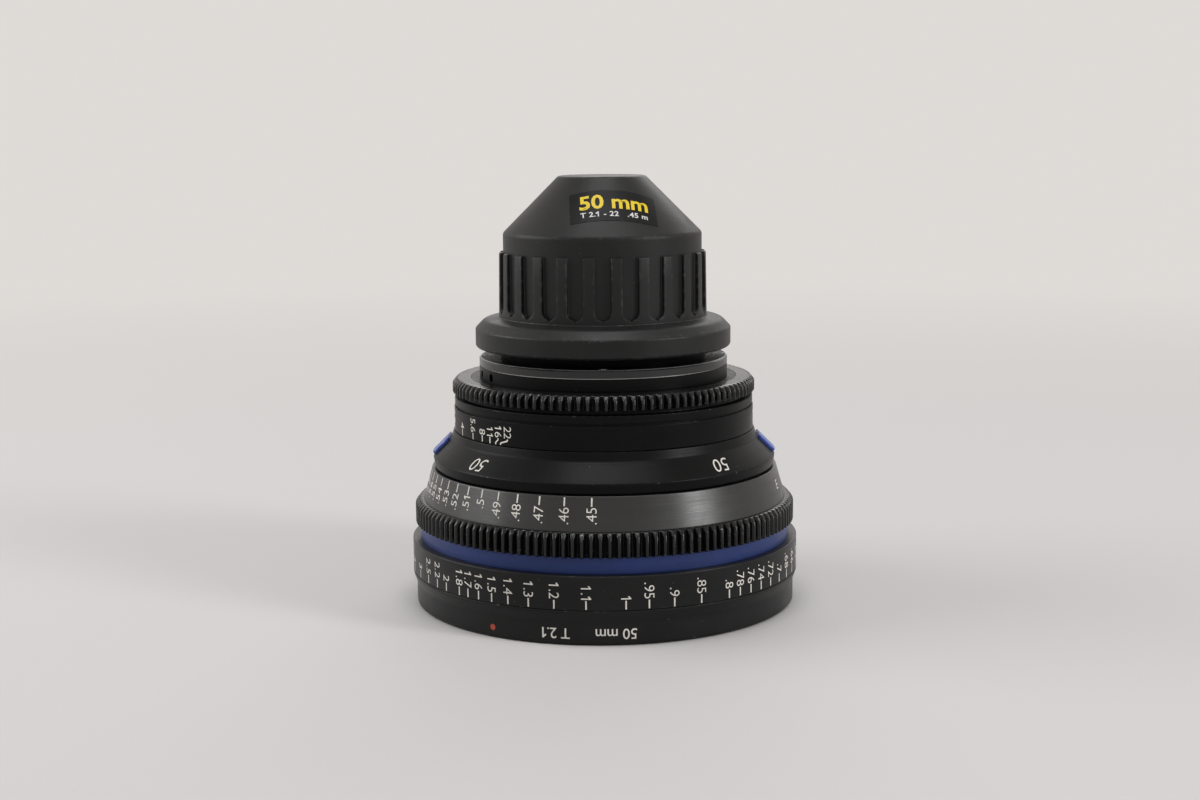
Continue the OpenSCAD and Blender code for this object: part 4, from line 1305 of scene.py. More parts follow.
@dataclass
class FocusGroup(SubAssembly):
    """The turning focus ring: scale ring, colour ring, gear and cone.

    Attributes:
        paint_room: step that leaves room for paint inside the ring's rim.
        cone_foot: radius at the foot of the cone.
        cone_head: radius at the head of the cone.
        bore: radius of the cone's bore.
        sleeve: inner and outer radius of the sleeve under the rings.
        teeth: teeth of the gear.
        gear_chamfer: height and depth of the gear's chamfer.
        front_scale: distances on the scale ring.
        rear_scale: distances on the cone.
        unit_angle: angle of the unit's letter on the cone.
        digit: height of the digits.
        tick: length of the scale lines.
        tick_gap: gap at either end of a scale line.
    """

    paint_room: float = 0.05
    cone_foot: float = 53.5
    cone_head: float = 50.8
    bore: float = 48.6
    sleeve: tuple[float, float] = (51.05, 52.4)
    teeth: int = 138
    gear_chamfer: tuple[float, float] = (1.4, 1.2)
    front_scale: DistanceScale = DistanceScale(5.53, 2.786, 38.85)
    rear_scale: DistanceScale = DistanceScale(-3.94, 7.295, 39.75)
    unit_angle: float = 73.0
    digit: float = 2.75
    tick: float = 2.4
    tick_gap: float = 0.35

    def build(self) -> None:
        """Turns the rings, cuts the gear and lays both scales."""
        seat = self.sleeve[1] + self.paint_room
        self.scale_ring(seat)
        self.colour_ring(seat)
        low, high = node_levels("focus_gear_ring")
        teeth = ToothForm(self.teeth).ring(seat, low, high, self.gear_chamfer)
        self.put(mesh_piece("focus_gear_skin", [teeth]), Body.FOCUS, GEAR, "focus_gear_ring")
        self.cone(high)

    def scale_ring(self, seat: float) -> None:
        """Turns the front scale ring and lays its distances, read down to lines at its foot.

        Args:
            seat: radius of the ring's bore.
        """
        rim = node_radius("distance_scale_ring") - self.paint_room
        low, high = node_levels("distance_scale_ring")
        section = Section((
            Corner(seat, low), Corner(rim, low, 0.12, 1.0),
            Corner(rim, high, 0.32, 0.7), Corner(seat, high, 0.05),
        ))
        skin = mesh_piece("scale_ring_skin", [section.turned()])
        self.put(skin, Body.FOCUS, BLACK, "distance_scale_ring")
        sheet = MarkSheet(Band((rim, low), (rim, high)))
        foot = self.tick_gap
        head = foot + self.tick
        angles = {label: self.front_scale.phi(label) for label in self.front_scale.labels}
        sheet.draw(Stroke(phi, (0.0, foot), (0.0, head), LINE) for phi in angles.values())
        level = head + self.tick_gap
        sheet.write(Word(label, phi, level, self.digit) for label, phi in angles.items())
        self.put(sheet.piece("front_distance_marks"), Body.FOCUS, PAINT)

    def colour_ring(self, seat: float) -> None:
        """Turns the coloured ring.

        Args:
            seat: radius of the ring's bore.
        """
        rim = node_radius("colour_ring")
        low, high = node_levels("colour_ring")
        section = Section((
            Corner(seat, low, 0.05), Corner(rim, low, 0.1),
            Corner(rim, high, 0.2, 0.6), Corner(seat, high, 0.05),
        ))
        skin = mesh_piece("colour_ring_skin", [section.turned()])
        self.put(skin, Body.FOCUS, BLUE, "colour_ring")

    def cone(self, foot_level: float) -> None:
        """Turns the cone with its sleeve and lays its distances, read up to lines at its head.

        Args:
            foot_level: level of the cone's foot.
        """
        low, high = node_levels("focus_ring")
        step = node_levels("cam_sleeve")[1]
        section = Section((
            Corner(self.sleeve[0], low), Corner(self.sleeve[1], low),
            Corner(self.sleeve[1], foot_level, 0.05),
            Corner(self.cone_foot, foot_level, 0.12, 0.4), Corner(self.cone_head, high, 0.22, 0.9),
            Corner(self.bore, high, 0.1), Corner(self.bore, step), Corner(self.sleeve[0], step),
        ))
        self.put(mesh_piece("focus_cone_skin", [section.turned()]), Body.FOCUS, SATIN, "focus_ring")
        band = Band((self.cone_foot, foot_level), (self.cone_head, high))
        sheet = MarkSheet(band)
        head = band.length - self.tick_gap
        foot = head - self.tick
        angles = {label: self.rear_scale.phi(label) for label in self.rear_scale.labels}
        sheet.draw(Stroke(phi, (0.0, foot), (0.0, head), LINE) for phi in angles.values())
        level = foot - self.tick_gap
        words = (*angles.items(), ("m", self.unit_angle))
        sheet.write(Word(text, phi, level, self.digit, Reading.UP) for text, phi in words)
        self.put(sheet.piece("rear_distance_marks"), Body.FOCUS, PAINT)

    def kept(self) -> dict[str, Finish | CoatedGlass]:
        """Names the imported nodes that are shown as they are, with their finishes."""
        return {"cam_sleeve": BRONZE, "cam_screws": SCREW}


@dataclass
class IndexGroup(SubAssembly):
    """The fixed index barrel with its two plates and its numbers.

    Attributes:
        foot: radius at its foot.
        ledge: radius of the recess under the iris ring.
        skirt: radius of the skirt's bore.
        hole: radius of the hole in its floor.
        cone_levels: levels of the cone's foot and head.
        cone_radii: radii of the cone's foot and head.
        top: radius at its top.
        floor_levels: levels of the floor's two faces.
        plate_size: width and length of a plate.
        plate_thickness: thickness of a plate.
        plate_gap: gap under a plate.
        plate_corner: radius of a plate's corners.
        plate_angles: angles of the plates.
        number: number on the cone.
        number_angles: angles at which it stands.
        number_height: height of its digits.
        number_slant: lean of its digits.
        number_share: share of the cone's slope below its middle.
        focus_line: ends of the lines for the focus scale, above their band's foot.
        iris_line: ends of the lines for the iris scale, above their band's foot.
        line_width: width of these lines.
    """

    foot: float = 50.0
    ledge: float = 40.0
    skirt: float = 48.35
    hole: float = 33.0
    cone_levels: tuple[float, float] = (43.3, 48.7)
    cone_radii: tuple[float, float] = (50.4, 45.0)
    top: float = 44.3
    floor_levels: tuple[float, float] = (44.0, 46.5)
    plate_size: tuple[float, float] = (11.0, 6.6)
    plate_thickness: float = 0.85
    plate_gap: float = 0.05
    plate_corner: float = 1.0
    plate_angles: tuple[float, float] = (-90.0, 90.0)
    number: str = "50"
    number_angles: tuple[float, ...] = (-46.9, 42.8, 137.0, -137.0)
    number_height: float = 4.1
    number_slant: float = 0.22
    number_share: float = 0.45
    focus_line: tuple[float, float] = (0.2, 2.4)
    iris_line: tuple[float, float] = (0.3, 2.2)
    line_width: float = 0.45

    def build(self) -> None:
        """Turns the barrel, lays its plates and its marks."""
        low, high = node_levels("index_barrel")
        wide, narrow = self.cone_radii
        cone_foot, cone_head = self.cone_levels
        floor, ceiling = self.floor_levels
        section = Section((
            Corner(self.skirt, low), Corner(self.foot, low, 0.12, 0.4),
            Corner(wide, cone_foot, 0.3, 0.9), Corner(narrow, cone_head, 0.35),
            Corner(self.top, high, 0.15, 0.8), Corner(self.ledge, high),
            Corner(self.ledge, ceiling), Corner(self.hole, ceiling),
            Corner(self.hole, floor), Corner(self.skirt, floor),
        ))
        skin = mesh_piece("index_barrel_skin", [section.turned()])
        self.put(skin, Body.ROOT, SHADED_BLACK, "index_barrel")
        band = Band((wide, cone_foot), (narrow, cone_head))
        plates = [self.plate(band, phi) for phi in self.plate_angles]
        self.put(mesh_piece("index_plate_skins", plates, 60.0), Body.ROOT, PLATE, "index_plates")
        sheet = MarkSheet(band, Lettering(slant=self.number_slant))
        middle = band.length * self.number_share
        sheet.write(
            Word(self.number, phi, middle, self.number_height, Reading.UPSIDE_DOWN, "CENTER")
            for phi in self.number_angles
        )
        self.put(sheet.piece("index_numbers"), Body.ROOT, PAINT)
        lower = Band((self.foot, low), (wide, cone_foot))
        self.lines("index_lines", lower, self.focus_line)
        upper = Band((narrow, cone_head), (self.top, high))
        self.lines("iris_index_lines", upper, self.iris_line)

    def lines(self, name: str, band: Band, ends: tuple[float, float]) -> None:
        """Lays an index line on a band beside each plate.

        Args:
            name: name of the piece.
            band: where the lines are laid.
            ends: heights of a line's two ends above the band's foot.
        """
        sheet = MarkSheet(band)
        start, end = ((0.0, height) for height in ends)
        sheet.draw(Stroke(phi, start, end, self.line_width) for phi in self.plate_angles)
        self.put(sheet.piece(name), Body.ROOT, PAINT)

    def plate(self, band: Band, phi: float, count: int = 96) -> Grid:
        """Makes one plate that follows the cone.

        Rows are copies of a rounded rectangle's outline. They shrink to the plate's middle on
        the top face, and run down the side below its softened edge.

        Args:
            band: the cone.
            phi: angle of the plate.
            count: points on its outline.

        Returns:
            The plate's surface.
        """
        half = np.array(self.plate_size) / 2.0
        turn = np.linspace(0.0, TURN, count, endpoint=False)
        unit = np.stack([np.cos(turn), np.sin(turn)], axis=1)
        inner = half - self.plate_corner
        core = np.clip(unit * half.sum(), -inner, inner)
        rim = core + self.plate_corner * unit
        top = self.plate_gap + self.plate_thickness
        # Rows from the side's foot over the softened edge to the middle of the top
        shrink = np.array([1.0, 1.0, 0.994, 0.975, 0.93, 0.5, 0.001])
        off = np.array([self.plate_gap, top - 0.2, top - 0.07, top - 0.015, top, top, top])
        wear = np.array([0.0, 0.4, 1.0, 0.8, 0.0, 0.0, 0.0])
        flat = shrink[:, None, None] * rim[None, :, :]
        above = flat[..., 1] + band.length / 2.0
        points = band.wrap(phi, flat[..., 0], above, np.repeat(off[:, None], count, axis=1))
        return Grid(points, np.repeat(wear[:, None], count, axis=1), False, True)


@dataclass
class IrisGroup(SubAssembly):
    """The turning iris ring with its scale and its gear.

    Attributes:
        sleeve: inner and outer radius of its sleeve.
        band: radius of the scale band.
        band_wall: inner radius of the scale band.
        band_levels: levels of the band's foot and head.
        groove: radius and upper level of the groove.
        upper: radius and upper level of the plain band.
        neck: radius of the neck.
        hub: radius of the gear's seat.
        cavity: upper level of the space inside the band.
        teeth: teeth of the gear.
        gear_chamfer: height and depth of the gear's chamfer.
        gear_gap: gap between the gear and its seat.
        stops: scale values, their angles and the turn from a line to its value, degrees.
        digit: height of the digits.
        spacing: spread of the digits.
        tick: length of the scale lines.
        tick_gap: gap at either end of a scale line.
    """

    sleeve: tuple[float, float] = (35.0, 37.0)
    band: float = 44.0
    band_wall: float = 41.6
    band_levels: tuple[float, float] = (51.25, 58.1)
    groove: tuple[float, float] = (43.2, 58.8)
    upper: tuple[float, float] = (43.8, 61.0)
    neck: float = 41.5
    hub: float = 38.95
    cavity: float = 59.5
    teeth: int = 109
    gear_chamfer: tuple[float, float] = (1.4, 1.2)
    gear_gap: float = 0.05
    stops: tuple[tuple[str, float, float], ...] = (
        ("22", -41.0, 3.4), ("16", -43.5, 1.3), ("11", -46.6, 0.0), ("8", -51.2, 0.0),
        ("5.6", -57.6, 0.0), ("4", -67.3, 0.0), ("2.8", -81.5, 0.0), ("2.1", -97.0, 0.0),
    )
    digit: float = 2.55
    spacing: float = 0.92
    tick: float = 1.8
    tick_gap: float = 0.2

    def build(self) -> None:
        """Turns the ring, cuts the gear and lays the scale on both sides."""
        low, high = node_levels("iris_ring")
        foot, head = self.band_levels
        gear_low, gear_high = node_levels("iris_gear_ring")
        section = Section((
            Corner(self.sleeve[0], low), Corner(self.sleeve[1], low),
            Corner(self.sleeve[1], self.cavity), Corner(self.band_wall, self.cavity),
            Corner(self.band_wall, foot), Corner(self.band, foot, 0.12, 0.6),
            Corner(self.band, head, 0.18, 0.9), Corner(self.groove[0], head, 0.12),
            Corner(*self.groove, 0.1), Corner(self.upper[0], self.groove[1], 0.18, 0.7),
            Corner(*self.upper, 0.25, 0.8), Corner(self.neck, self.upper[1], 0.3),
            Corner(self.neck, gear_low, 0.1), Corner(self.hub, gear_low, 0.05),
            Corner(self.hub, high, 0.15), Corner(self.sleeve[0], high, 0.15, 0.3),
        ))
        self.put(mesh_piece("iris_ring_skin", [section.turned()]), Body.IRIS, SHADED_BLACK, "iris_ring")
        seat = self.hub + self.gear_gap
        teeth = ToothForm(self.teeth).ring(seat, gear_low, gear_high, self.gear_chamfer)
        self.put(mesh_piece("iris_gear_skin", [teeth]), Body.IRIS, GEAR, "iris_gear_ring")
        self.scale(Band((self.band, foot), (self.band, head)))

    def scale(self, band: Band) -> None:
        """Lays the iris values, read downwards to lines at the band's foot.

        Where values stand too close, the line runs up, then aside to its value, then up again.

        Args:
            band: the scale band.
        """
        sheet = MarkSheet(band, Lettering(spacing=self.spacing))
        foot = self.tick_gap
        level = foot + self.tick + self.tick_gap
        for half_turn in (0.0, 180.0):
            for text, phi, aside in self.stops:
                away = math.radians(aside) * self.band
                middle = ((0.0, 0.3), (away, 0.75)) if aside else ()
                bends = ((0.0, 0.0), *middle, (away, 1.0))
                line = [(x, foot + self.tick * share) for x, share in bends]
                turned = phi + half_turn
                sheet.draw(Stroke(turned, *ends, LINE) for ends in zip(line, line[1:]))
                sheet.write([Word(text, turned, level, self.digit, shift=away)])
        self.put(sheet.piece("iris_marks"), Body.IRIS, PAINT)

    def kept(self) -> dict[str, Finish | CoatedGlass]:
        """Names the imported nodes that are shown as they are, with their finishes."""
        return {"iris_drive_pin": SCREW, "iris_drive_ring": BRONZE}


@dataclass
class MountGroup(SubAssembly):
    """The rear barrel and the four-tab mount, kept as imported."""

    def build(self) -> None:
        """Makes nothing new."""

    def kept(self) -> dict[str, Finish | CoatedGlass]:
        """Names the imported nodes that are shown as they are, with their finishes."""
        return {
            "rear_barrel": SHADED_BLACK, "rear_barrel_screws": SCREW, "mount_shim": SHIM,
            "breech_mount": MOUNT, "mount_screws": SCREW,
        }


@dataclass
class CoreGroup(SubAssembly):
    """The sliding optical core with its glass and its iris, kept as imported.

    Attributes:
        blades: number of iris blades.
        elements: number of glass elements.
    """

    blades: int = 14
    elements: int = 7

    def build(self) -> None:
        """Makes nothing new."""

    def kept(self) -> dict[str, Finish | CoatedGlass]:
        """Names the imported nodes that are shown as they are.

        Returns:
            Their finishes by name.
        """
        cells = (
            "core_carrier", "front_cell", "front_retainer", "front_spacer", "iris_housing",
            "iris_cover", "rear_cell", "rear_spacer", "rear_retainer",
        )
        finishes: dict[str, Finish | CoatedGlass] = {name: INNER for name in cells}
        finishes.update({name: SCREW for name in ("cam_rollers", "housing_screws")})
        finishes.update({f"lens_{i + 1}": GLASS for i in range(self.elements)})
        finishes.update({f"iris_blade_{i + 1:02d}": BLADE for i in range(self.blades)})
        return finishes


@dataclass
class RearCap(SubAssembly):
    """The moulded cap: rim, slotted grip, cone and the label on it.

    Attributes:
        rim_bore: radius of the rim's bore.
        bore: radius of the bore above its seat.
        seat: level of the seat on the mount.
        rim_top: upper level of the rim's side.
        rim_edge: chamfer of the rim.
        slope: radius and level where the slope to the grip changes.
        grip_foot: radius and level of the grip's foot.
        foot_fillet: height of the fillet at that foot.
        grip_head: radius and level of the grip's head.
        neck: radius and upper level of the neck.
        top: radius of the flat top.
        wall: thickness of the top.
        slots: number of slots.
        slot_width: width of a slot.
        slot_floor: distance of a slot's floor from the axis.
        slot_foot: lowest level of a slot.
        slot_middle: level of a row of points half way up the slots.
        rib_ease: width over which a rib's edges are softened.
        lug: inner radius, lower level and height of the lugs.
        lug_root: depth to which a lug reaches into the rim.
        lug_width: width of a lug, degrees.
        lug_angles: angles of the lugs.
        label_size: width and height of the label.
        label_thickness: thickness of the label.
        label_edge: width of the label's rubbed edge.
        label_place: distance to the right and down the cone, and tilt of the label in degrees.
        title: text, level and digit height of the label's upper line.
        line: text, level and digit height of its lower line.
    """

    rim_bore: float = 33.6
    bore: float = 28.0
    seat: float = 80.05
    rim_top: float = 80.8
    rim_edge: float = 0.6
    slope: tuple[float, float] = (34.85, 83.4)
    grip_foot: tuple[float, float] = (30.45, 84.1)
    foot_fillet: float = 0.6
    grip_head: tuple[float, float] = (30.2, 102.9)
    neck: tuple[float, float] = (28.98, 108.4)
    top: float = 12.63
    wall: float = 2.0
    slots: int = 24
    slot_width: float = 4.8
    slot_floor: float = 29.0
    slot_foot: float = 85.4
    slot_middle: float = 95.0
    rib_ease: float = 0.28
    lug: tuple[float, float, float] = (31.0, 75.5, 1.2)
    lug_root: float = 0.3
    lug_width: float = 30.0
    lug_angles: tuple[float, ...] = (0.0, 90.0, 180.0, 270.0)
    label_size: tuple[float, float] = (25.2, 11.5)
    label_thickness: float = 0.12
    label_edge: float = 0.12
    label_place: tuple[float, float, float] = (3.3, 28.6, 2.8)
    title: tuple[str, float, float] = ("50 mm", 1.5, 5.2)
    line: tuple[str, float, float] = ("T 2.1 - 22   .45 m", -3.2, 1.85)

    def build(self) -> None:
        """Moulds the shell and sticks the label on its cone."""
        grids = [self.rim(), self.grip(), self.crown(), self.inside(), *self.lugs()]
        self.put(mesh_piece("rear_cap_skin", grids, 34.0), Body.CAP, PLASTIC, "rear_cap")
        self.label()

    def rim(self) -> Grid:
        """Turns the rim and its slope up to the grip.

        Returns:
            An open surface from the rim's bore to the head of the grip's foot fillet.
        """
        rim = node_radius("rear_cap")
        low, _ = node_levels("rear_cap")
        return Section((
            Corner(self.rim_bore, low), Corner(rim - self.rim_edge, low, 0.3, 0.6),
            Corner(rim, low + self.rim_edge, 0.4, 0.5), Corner(rim, self.rim_top, 0.35, 0.6),
            Corner(rim - self.rim_edge, self.rim_top + self.rim_edge, 0.3, 0.6),
            Corner(*self.slope, 0.9), Corner(*self.grip_foot, 0.5, 1.0),
            Corner(self.grip_foot[0], self.grip_foot[1] + self.foot_fillet),
        ), closed=False).turned()

    def grip(self) -> Grid:
        """Moulds the grip with its slots.

        The columns of one pitch follow a slot's two edges, so they close up where the slot's
        round end begins. A column in the slot lies on its flat floor, at the floor's distance
        divided by the cosine of its angle from the slot's middle. The others lie on the grip's
        own slightly tapered radius, drawn in where an edge is softened.

        Returns:
            A surface from the foot fillet to the neck.
        """
        half, ease = self.slot_width / 2.0, self.rib_ease
        bend = np.radians(np.linspace(8.0, 90.0, 12))
        foot, head = self.grip_foot[1], self.grip_head[1]
        # Rows below the slots, up their round ends, along their sides and over the grip's head
        level = np.concatenate([
            [foot + self.foot_fillet, self.slot_foot - 0.3],
            self.slot_foot + half * (1.0 - np.cos(bend)),
            [self.slot_middle, head - 0.5, head - 0.16, head, head],
        ])
        start = np.full(2, half * math.sin(bend[0]))
        width = np.concatenate([start, half * np.sin(bend), np.full(5, half)])
        depth = np.concatenate([np.zeros(2), np.ones(len(level) - 2)])
        drop = np.zeros(len(level))
        drop[-3:-1] = 0.1, 0.5
        rim = np.interp(level, [foot, head], [self.grip_foot[0], self.grip_head[0]]) - drop
        reach = math.pi / self.slots * self.grip_foot[0]
        # Columns from the middle of a rib over its softened edge to the middle of a slot
        rib = np.array([0.0, 0.5, 1.0, 1.0, 1.0])
        past = np.array([0.0, 0.0, 1.0, 0.4, 0.0]) * ease
        pull = np.array([0.0, 0.0, 0.0, 0.12, 0.55]) * ease
        edge = (width[:, None] + past[None, :]) * rib + reach * (1.0 - rib)
        floor = np.array([1.0, 0.9, 0.45, 0.0]) * width[:, None]
        right = np.concatenate([edge, floor], axis=1)
        across = np.concatenate([-right, right[:, -2:0:-1]], axis=1) / self.grip_foot[0]
        in_slot = np.array([False] * 5 + [True] * 7 + [False] * 4)
        foot_ease = np.zeros(len(in_slot))
        foot_ease[[5, 11]] = 0.25
        soft = np.concatenate([pull, np.zeros(7), pull[:0:-1]])
        bottom = np.minimum(self.slot_floor / np.cos(across) + foot_ease, rim[:, None])
        cut = rim[:, None] + depth[:, None] * (bottom - rim[:, None])
        radius = np.where(in_slot, cut, rim[:, None] - depth[:, None] * soft)
        radius[-1] = self.neck[0]
        # Rib edges and rib heads carry wear that the cap's finish turns partly into rubbed plastic
        # and partly into painted glints
        wear = np.concatenate([[0.0, 0.0, 0.5, 0.9, 0.9], np.zeros(7), [0.9, 0.9, 0.5, 0.0]])
        head_wear_and_glint = np.where(in_slot, 0.0, np.minimum(drop[:, None] * 2.5, 1.0))
        wear = np.maximum(wear[None, :] * depth[:, None], head_wear_and_glint)
        centre = TURN * np.arange(self.slots) / self.slots
        angle = (centre[None, :, None] + across[:, None, :]).reshape(len(level), -1)
        points = around(np.tile(radius, (1, self.slots)), angle, level[:, None])
        return Grid(points, np.tile(wear, (1, self.slots)), False, True)

    def crown(self) -> Grid:
        """Turns the neck, the cone and the flat top.

        Returns:
            An open surface from the grip's head to the axis.
        """
        _, high = node_levels("rear_cap")
        return Section((
            Corner(self.neck[0], self.grip_head[1]), Corner(*self.neck, 0.7, 0.35),
            Corner(self.top, high, 0.6, 0.6), Corner(AXIS, high),
        ), closed=False).turned()

    def inside(self) -> Grid:
        """Turns the hollow, from the axis down to the rim's bore.

        Returns:
            An open surface that faces inwards.
        """
        low, high = node_levels("rear_cap")
        ceiling = high - self.wall
        inner_top = self.top + self.wall * (1.0 - math.sqrt(2.0))
        return Section((
            Corner(AXIS, ceiling), Corner(inner_top, ceiling, 0.5),
            Corner(self.bore, ceiling - self.bore + inner_top, 0.5),
            Corner(self.bore, self.seat, 0.2), Corner(self.rim_bore, self.seat, 0.2),
            Corner(self.rim_bore, low),
        ), closed=False).turned(192)

    def lugs(self) -> list[Grid]:
        """Moulds the four lugs inside the rim.

        Returns:
            One closed surface for each lug.
        """
        inner, low, tall = self.lug
        root = self.rim_bore + self.lug_root
        section = Section((
            Corner(inner, low, 0.2), Corner(root, low), Corner(root, low + tall),
            Corner(inner, low + tall, 0.2),
        ))
        half = self.lug_width / 2.0
        return [section.swept(phi - half, phi + half) for phi in self.lug_angles]

    def label(self) -> None:
        """Sticks a black label on the cone, with the focal length and the iris range.

        The film is a grid of flat places on the unrolled cone. Its outermost rows and columns
        turn down under the cone, and the next ones carry the rubbed edge.
        """
        patch = ConePatch(self.neck[0] + self.neck[1], *self.label_place)
        wide, tall = self.label_size
        trim = np.array([0.0, 0.0, self.label_edge])
        x = np.linspace(-wide / 2.0, wide / 2.0, 49)
        y = np.linspace(-tall / 2.0, tall / 2.0, 17)
        x = np.concatenate([x[0] + trim, x[1:-1], x[-1] - trim[::-1]])
        y = np.concatenate([y[0] + trim, y[1:-1], y[-1] - trim[::-1]])
        rows, columns = (np.minimum(n, n[::-1]) for n in (np.arange(len(y)), np.arange(len(x))))
        edge = np.minimum.outer(rows, columns)
        off = np.where(edge == 0, -0.05, self.label_thickness)
        film = Grid(patch.wrap(0.0, *np.meshgrid(x, y), off), np.where(edge < 2, 1.0, 0.0))
        self.put(mesh_piece("cap_label", [film], 60.0), Body.CAP, LABEL)
        self.print_line("cap_label_title", patch, Lettering(0.024, spacing=1.0), self.title, YELLOW)
        self.print_line("cap_label_line", patch, Lettering(0.02, spacing=1.05), self.line, WHITE)

    def print_line(
        self, name: str, patch: ConePatch, style: Lettering, line: tuple[str, float, float],
        finish: Finish,
    ) -> None:
        """Prints one line of text on the label.

        Args:
            name: name of the piece.
            patch: the label's place on the cone.
            style: letters of the line.
            line: its text, level and digit height.
            finish: its ink.
        """
        text, level, height = line
        lift, sink = self.label_thickness + 0.025, 0.02 - self.label_thickness
        sheet = MarkSheet(patch, style, lift, sink)
        sheet.write([Word(text, 0.0, level, height, Reading.LEVEL, "CENTER")])
        self.put(sheet.piece(name), Body.CAP, finish)


@dataclass(frozen=True)
class Softbox:
    """A soft rectangular lamp that faces the lens.

    Attributes:
        name: its name.
        place: where it stands, metres.
        aim: what it faces, metres.
        size: width and height, metres.
        level: brightness that it gives a white surface at its aim.
    """

    name: str
    place: tuple[float, float, float]
    aim: tuple[float, float, float]
    size: tuple[float, float]
    level: float

    def build(self) -> None:
        """Hangs the lamp. Its power is the level times pi squared times the distance squared."""
        away = np.array(self.place) - np.array(self.aim)
        lamp = bpy.data.lights.new(self.name, "AREA")
        lamp.shape = "RECTANGLE"
        lamp.size, lamp.size_y = self.size
        lamp.energy = self.level * math.pi**2 * float(away @ away)
        hung = bpy.data.objects.new(self.name, lamp)
        turn = Matrix.Identity(3)
        back = away / np.linalg.norm(away)
        side = np.cross((0.0, 0.0, 1.0) if abs(back[2]) < 0.99 else (0.0, 1.0, 0.0), back)
        side = side / np.linalg.norm(side)
        turn.col[0], turn.col[1], turn.col[2] = side, np.cross(back, side), back
        hung.matrix_world = Matrix.Translation(self.place) @ turn.to_4x4()
        bpy.context.scene.collection.objects.link(hung)


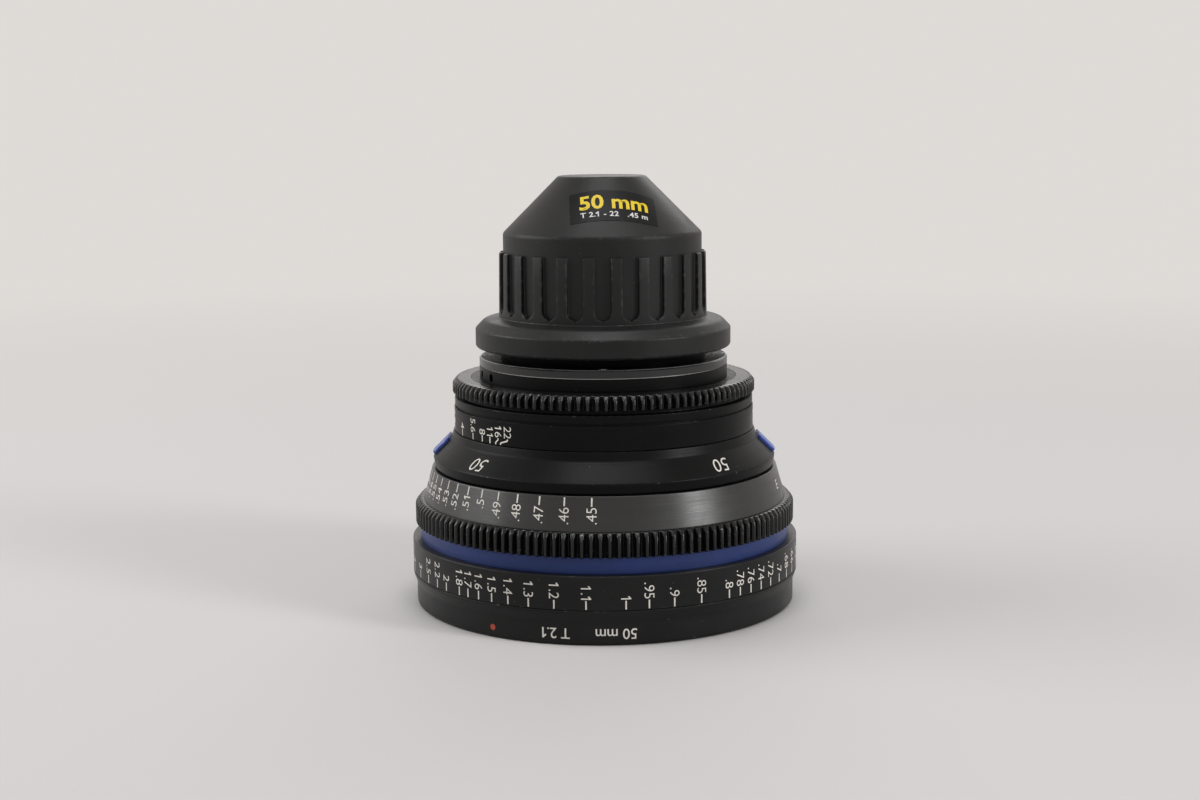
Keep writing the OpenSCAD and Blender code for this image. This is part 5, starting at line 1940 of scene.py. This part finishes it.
@dataclass
class Studio:
    """The pale table, the light and the camera.

    Attributes:
        backdrop: colour that the background shows to the camera.
        table: colour of the table.
        reach: distances from the lens between which the table fades into the background, metres.
        ambient: brightness of the light from all round.
        focal: focal length of the camera on a 36 mm wide frame.
        eye: place of the camera, metres.
        pitch_deg: angle of its view below the level.
        roll_deg: its turn about its own axis.
        lamps: the lamps.
    """

    backdrop: Color = (0.735, 0.705, 0.68)
    table: Color = (0.672, 0.655, 0.648)
    reach: tuple[float, float] = (0.05, 1.1)
    ambient: float = 0.2
    focal: float = 54.842
    eye: tuple[float, float, float] = (-0.001061, -0.534455, 0.141527)
    pitch_deg: float = 8.806
    roll_deg: float = -0.4885
    lamps: tuple[Softbox, ...] = (
        Softbox("top_box", (0.0, -0.15, 1.25), (0.0, 0.0, 0.05), (0.7, 0.55), 0.37),
        Softbox("right_box", (1.1, -0.58, 0.58), (0.0, 0.0, 0.06), (0.32, 0.6), 0.42),
        Softbox("left_box", (-1.08, 0.05, 0.58), (0.0, 0.0, 0.06), (1.0, 0.6), 0.5),
        Softbox("back_box", (0.2, 1.2, 0.8), (0.0, 0.0, 0.06), (1.2, 0.6), 0.22),
    )

    def build(self) -> None:
        """Sets the table, the lamps, the surround and the camera."""
        self.table_top()
        self.surround()
        for lamp in self.lamps:
            lamp.build()
        self.camera()
        bpy.context.scene.view_settings.view_transform = "Standard"

    def table_top(self) -> None:
        """Lays a round table and fades it into the background's colour with distance."""
        angle = np.linspace(0.0, TURN, 96, endpoint=False)
        radius = np.array([0.1, 150.0, 400.0, 1000.0, 2500.0, 6000.0])
        points = around(radius[::-1, None], angle[None, :], np.array([[-0.01]]))
        top = mesh_piece("table", [Grid(points, np.zeros(points.shape[:2]), False, True)])
        graph = Graph("table_top")
        place = graph.place()
        fleck = graph.noise(place, 900.0, 3.0)
        dim = tuple(0.985 * part for part in self.table)
        shade = graph.blend(fleck, opaque(dim), opaque(self.table))
        inputs = {"Base Color": shade, "Roughness": 0.75, "Specular IOR Level": 0.25}
        surface = graph.node("ShaderNodeBsdfPrincipled", inputs).outputs["BSDF"]
        reach = graph.node("ShaderNodeVectorMath", operation="LENGTH")
        graph.feed(reach.inputs[0], place)
        far = graph.span(reach.outputs["Value"], *self.reach)
        shown = {"Color": opaque(self.backdrop), "Strength": 1.0}
        glow = graph.node("ShaderNodeEmission", shown).outputs["Emission"]
        mixed = graph.node("ShaderNodeMixShader")
        graph.feed(mixed.inputs[0], far)
        graph.feed(mixed.inputs[1], surface)
        graph.feed(mixed.inputs[2], glow)
        top.data.materials.append(graph.close(mixed.outputs["Shader"]))

    def surround(self) -> None:
        """Lights the scene from all round and shows the background to camera, metal and glass."""
        world = bpy.data.worlds.new("surround")
        bpy.context.scene.world = world
        world.use_nodes = True
        tree = world.node_tree
        tree.nodes.clear()
        path = tree.nodes.new("ShaderNodeLightPath")
        seen = path.outputs["Is Camera Ray"]
        for name in ("Is Glossy Ray", "Is Transmission Ray"):
            either = tree.nodes.new("ShaderNodeMath")
            either.operation = "MAXIMUM"
            tree.links.new(seen, either.inputs[0])
            tree.links.new(path.outputs[name], either.inputs[1])
            seen = either.outputs[0]
        light = tree.nodes.new("ShaderNodeBackground")
        light.inputs["Color"].default_value = (1.0, 0.99, 0.98, 1.0)
        light.inputs["Strength"].default_value = self.ambient
        view = tree.nodes.new("ShaderNodeBackground")
        view.inputs["Color"].default_value = opaque(self.backdrop)
        mixed = tree.nodes.new("ShaderNodeMixShader")
        tree.links.new(seen, mixed.inputs[0])
        tree.links.new(light.outputs["Background"], mixed.inputs[1])
        tree.links.new(view.outputs["Background"], mixed.inputs[2])
        output = tree.nodes.new("ShaderNodeOutputWorld")
        tree.links.new(mixed.outputs["Shader"], output.inputs["Surface"])

    def camera(self) -> None:
        """Sets the camera where the photograph was taken from."""
        lens = bpy.data.cameras.new("camera")
        lens.sensor_fit = "HORIZONTAL"
        lens.sensor_width = 36.0
        lens.lens = self.focal
        lens.clip_start = 0.01
        stand = bpy.data.objects.new("camera", lens)
        pitch = Matrix.Rotation(math.radians(90.0 - self.pitch_deg), 4, "X")
        roll = Matrix.Rotation(math.radians(self.roll_deg), 4, "Z")
        stand.matrix_world = Matrix.Translation(self.eye) @ pitch @ roll
        bpy.context.scene.collection.objects.link(stand)
        bpy.context.scene.camera = stand


def main() -> None:
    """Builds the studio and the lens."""
    logging.basicConfig(level=logging.INFO, format="%(name)s: %(message)s")
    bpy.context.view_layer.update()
    Studio().build()
    wardrobe = Wardrobe()
    for group in (FrontGroup, FocusGroup, IndexGroup, IrisGroup, MountGroup, CoreGroup, RearCap):
        group(wardrobe).make()
        LOG.info("%s is made", group.__name__)


if __name__ == "__main__":
    main()
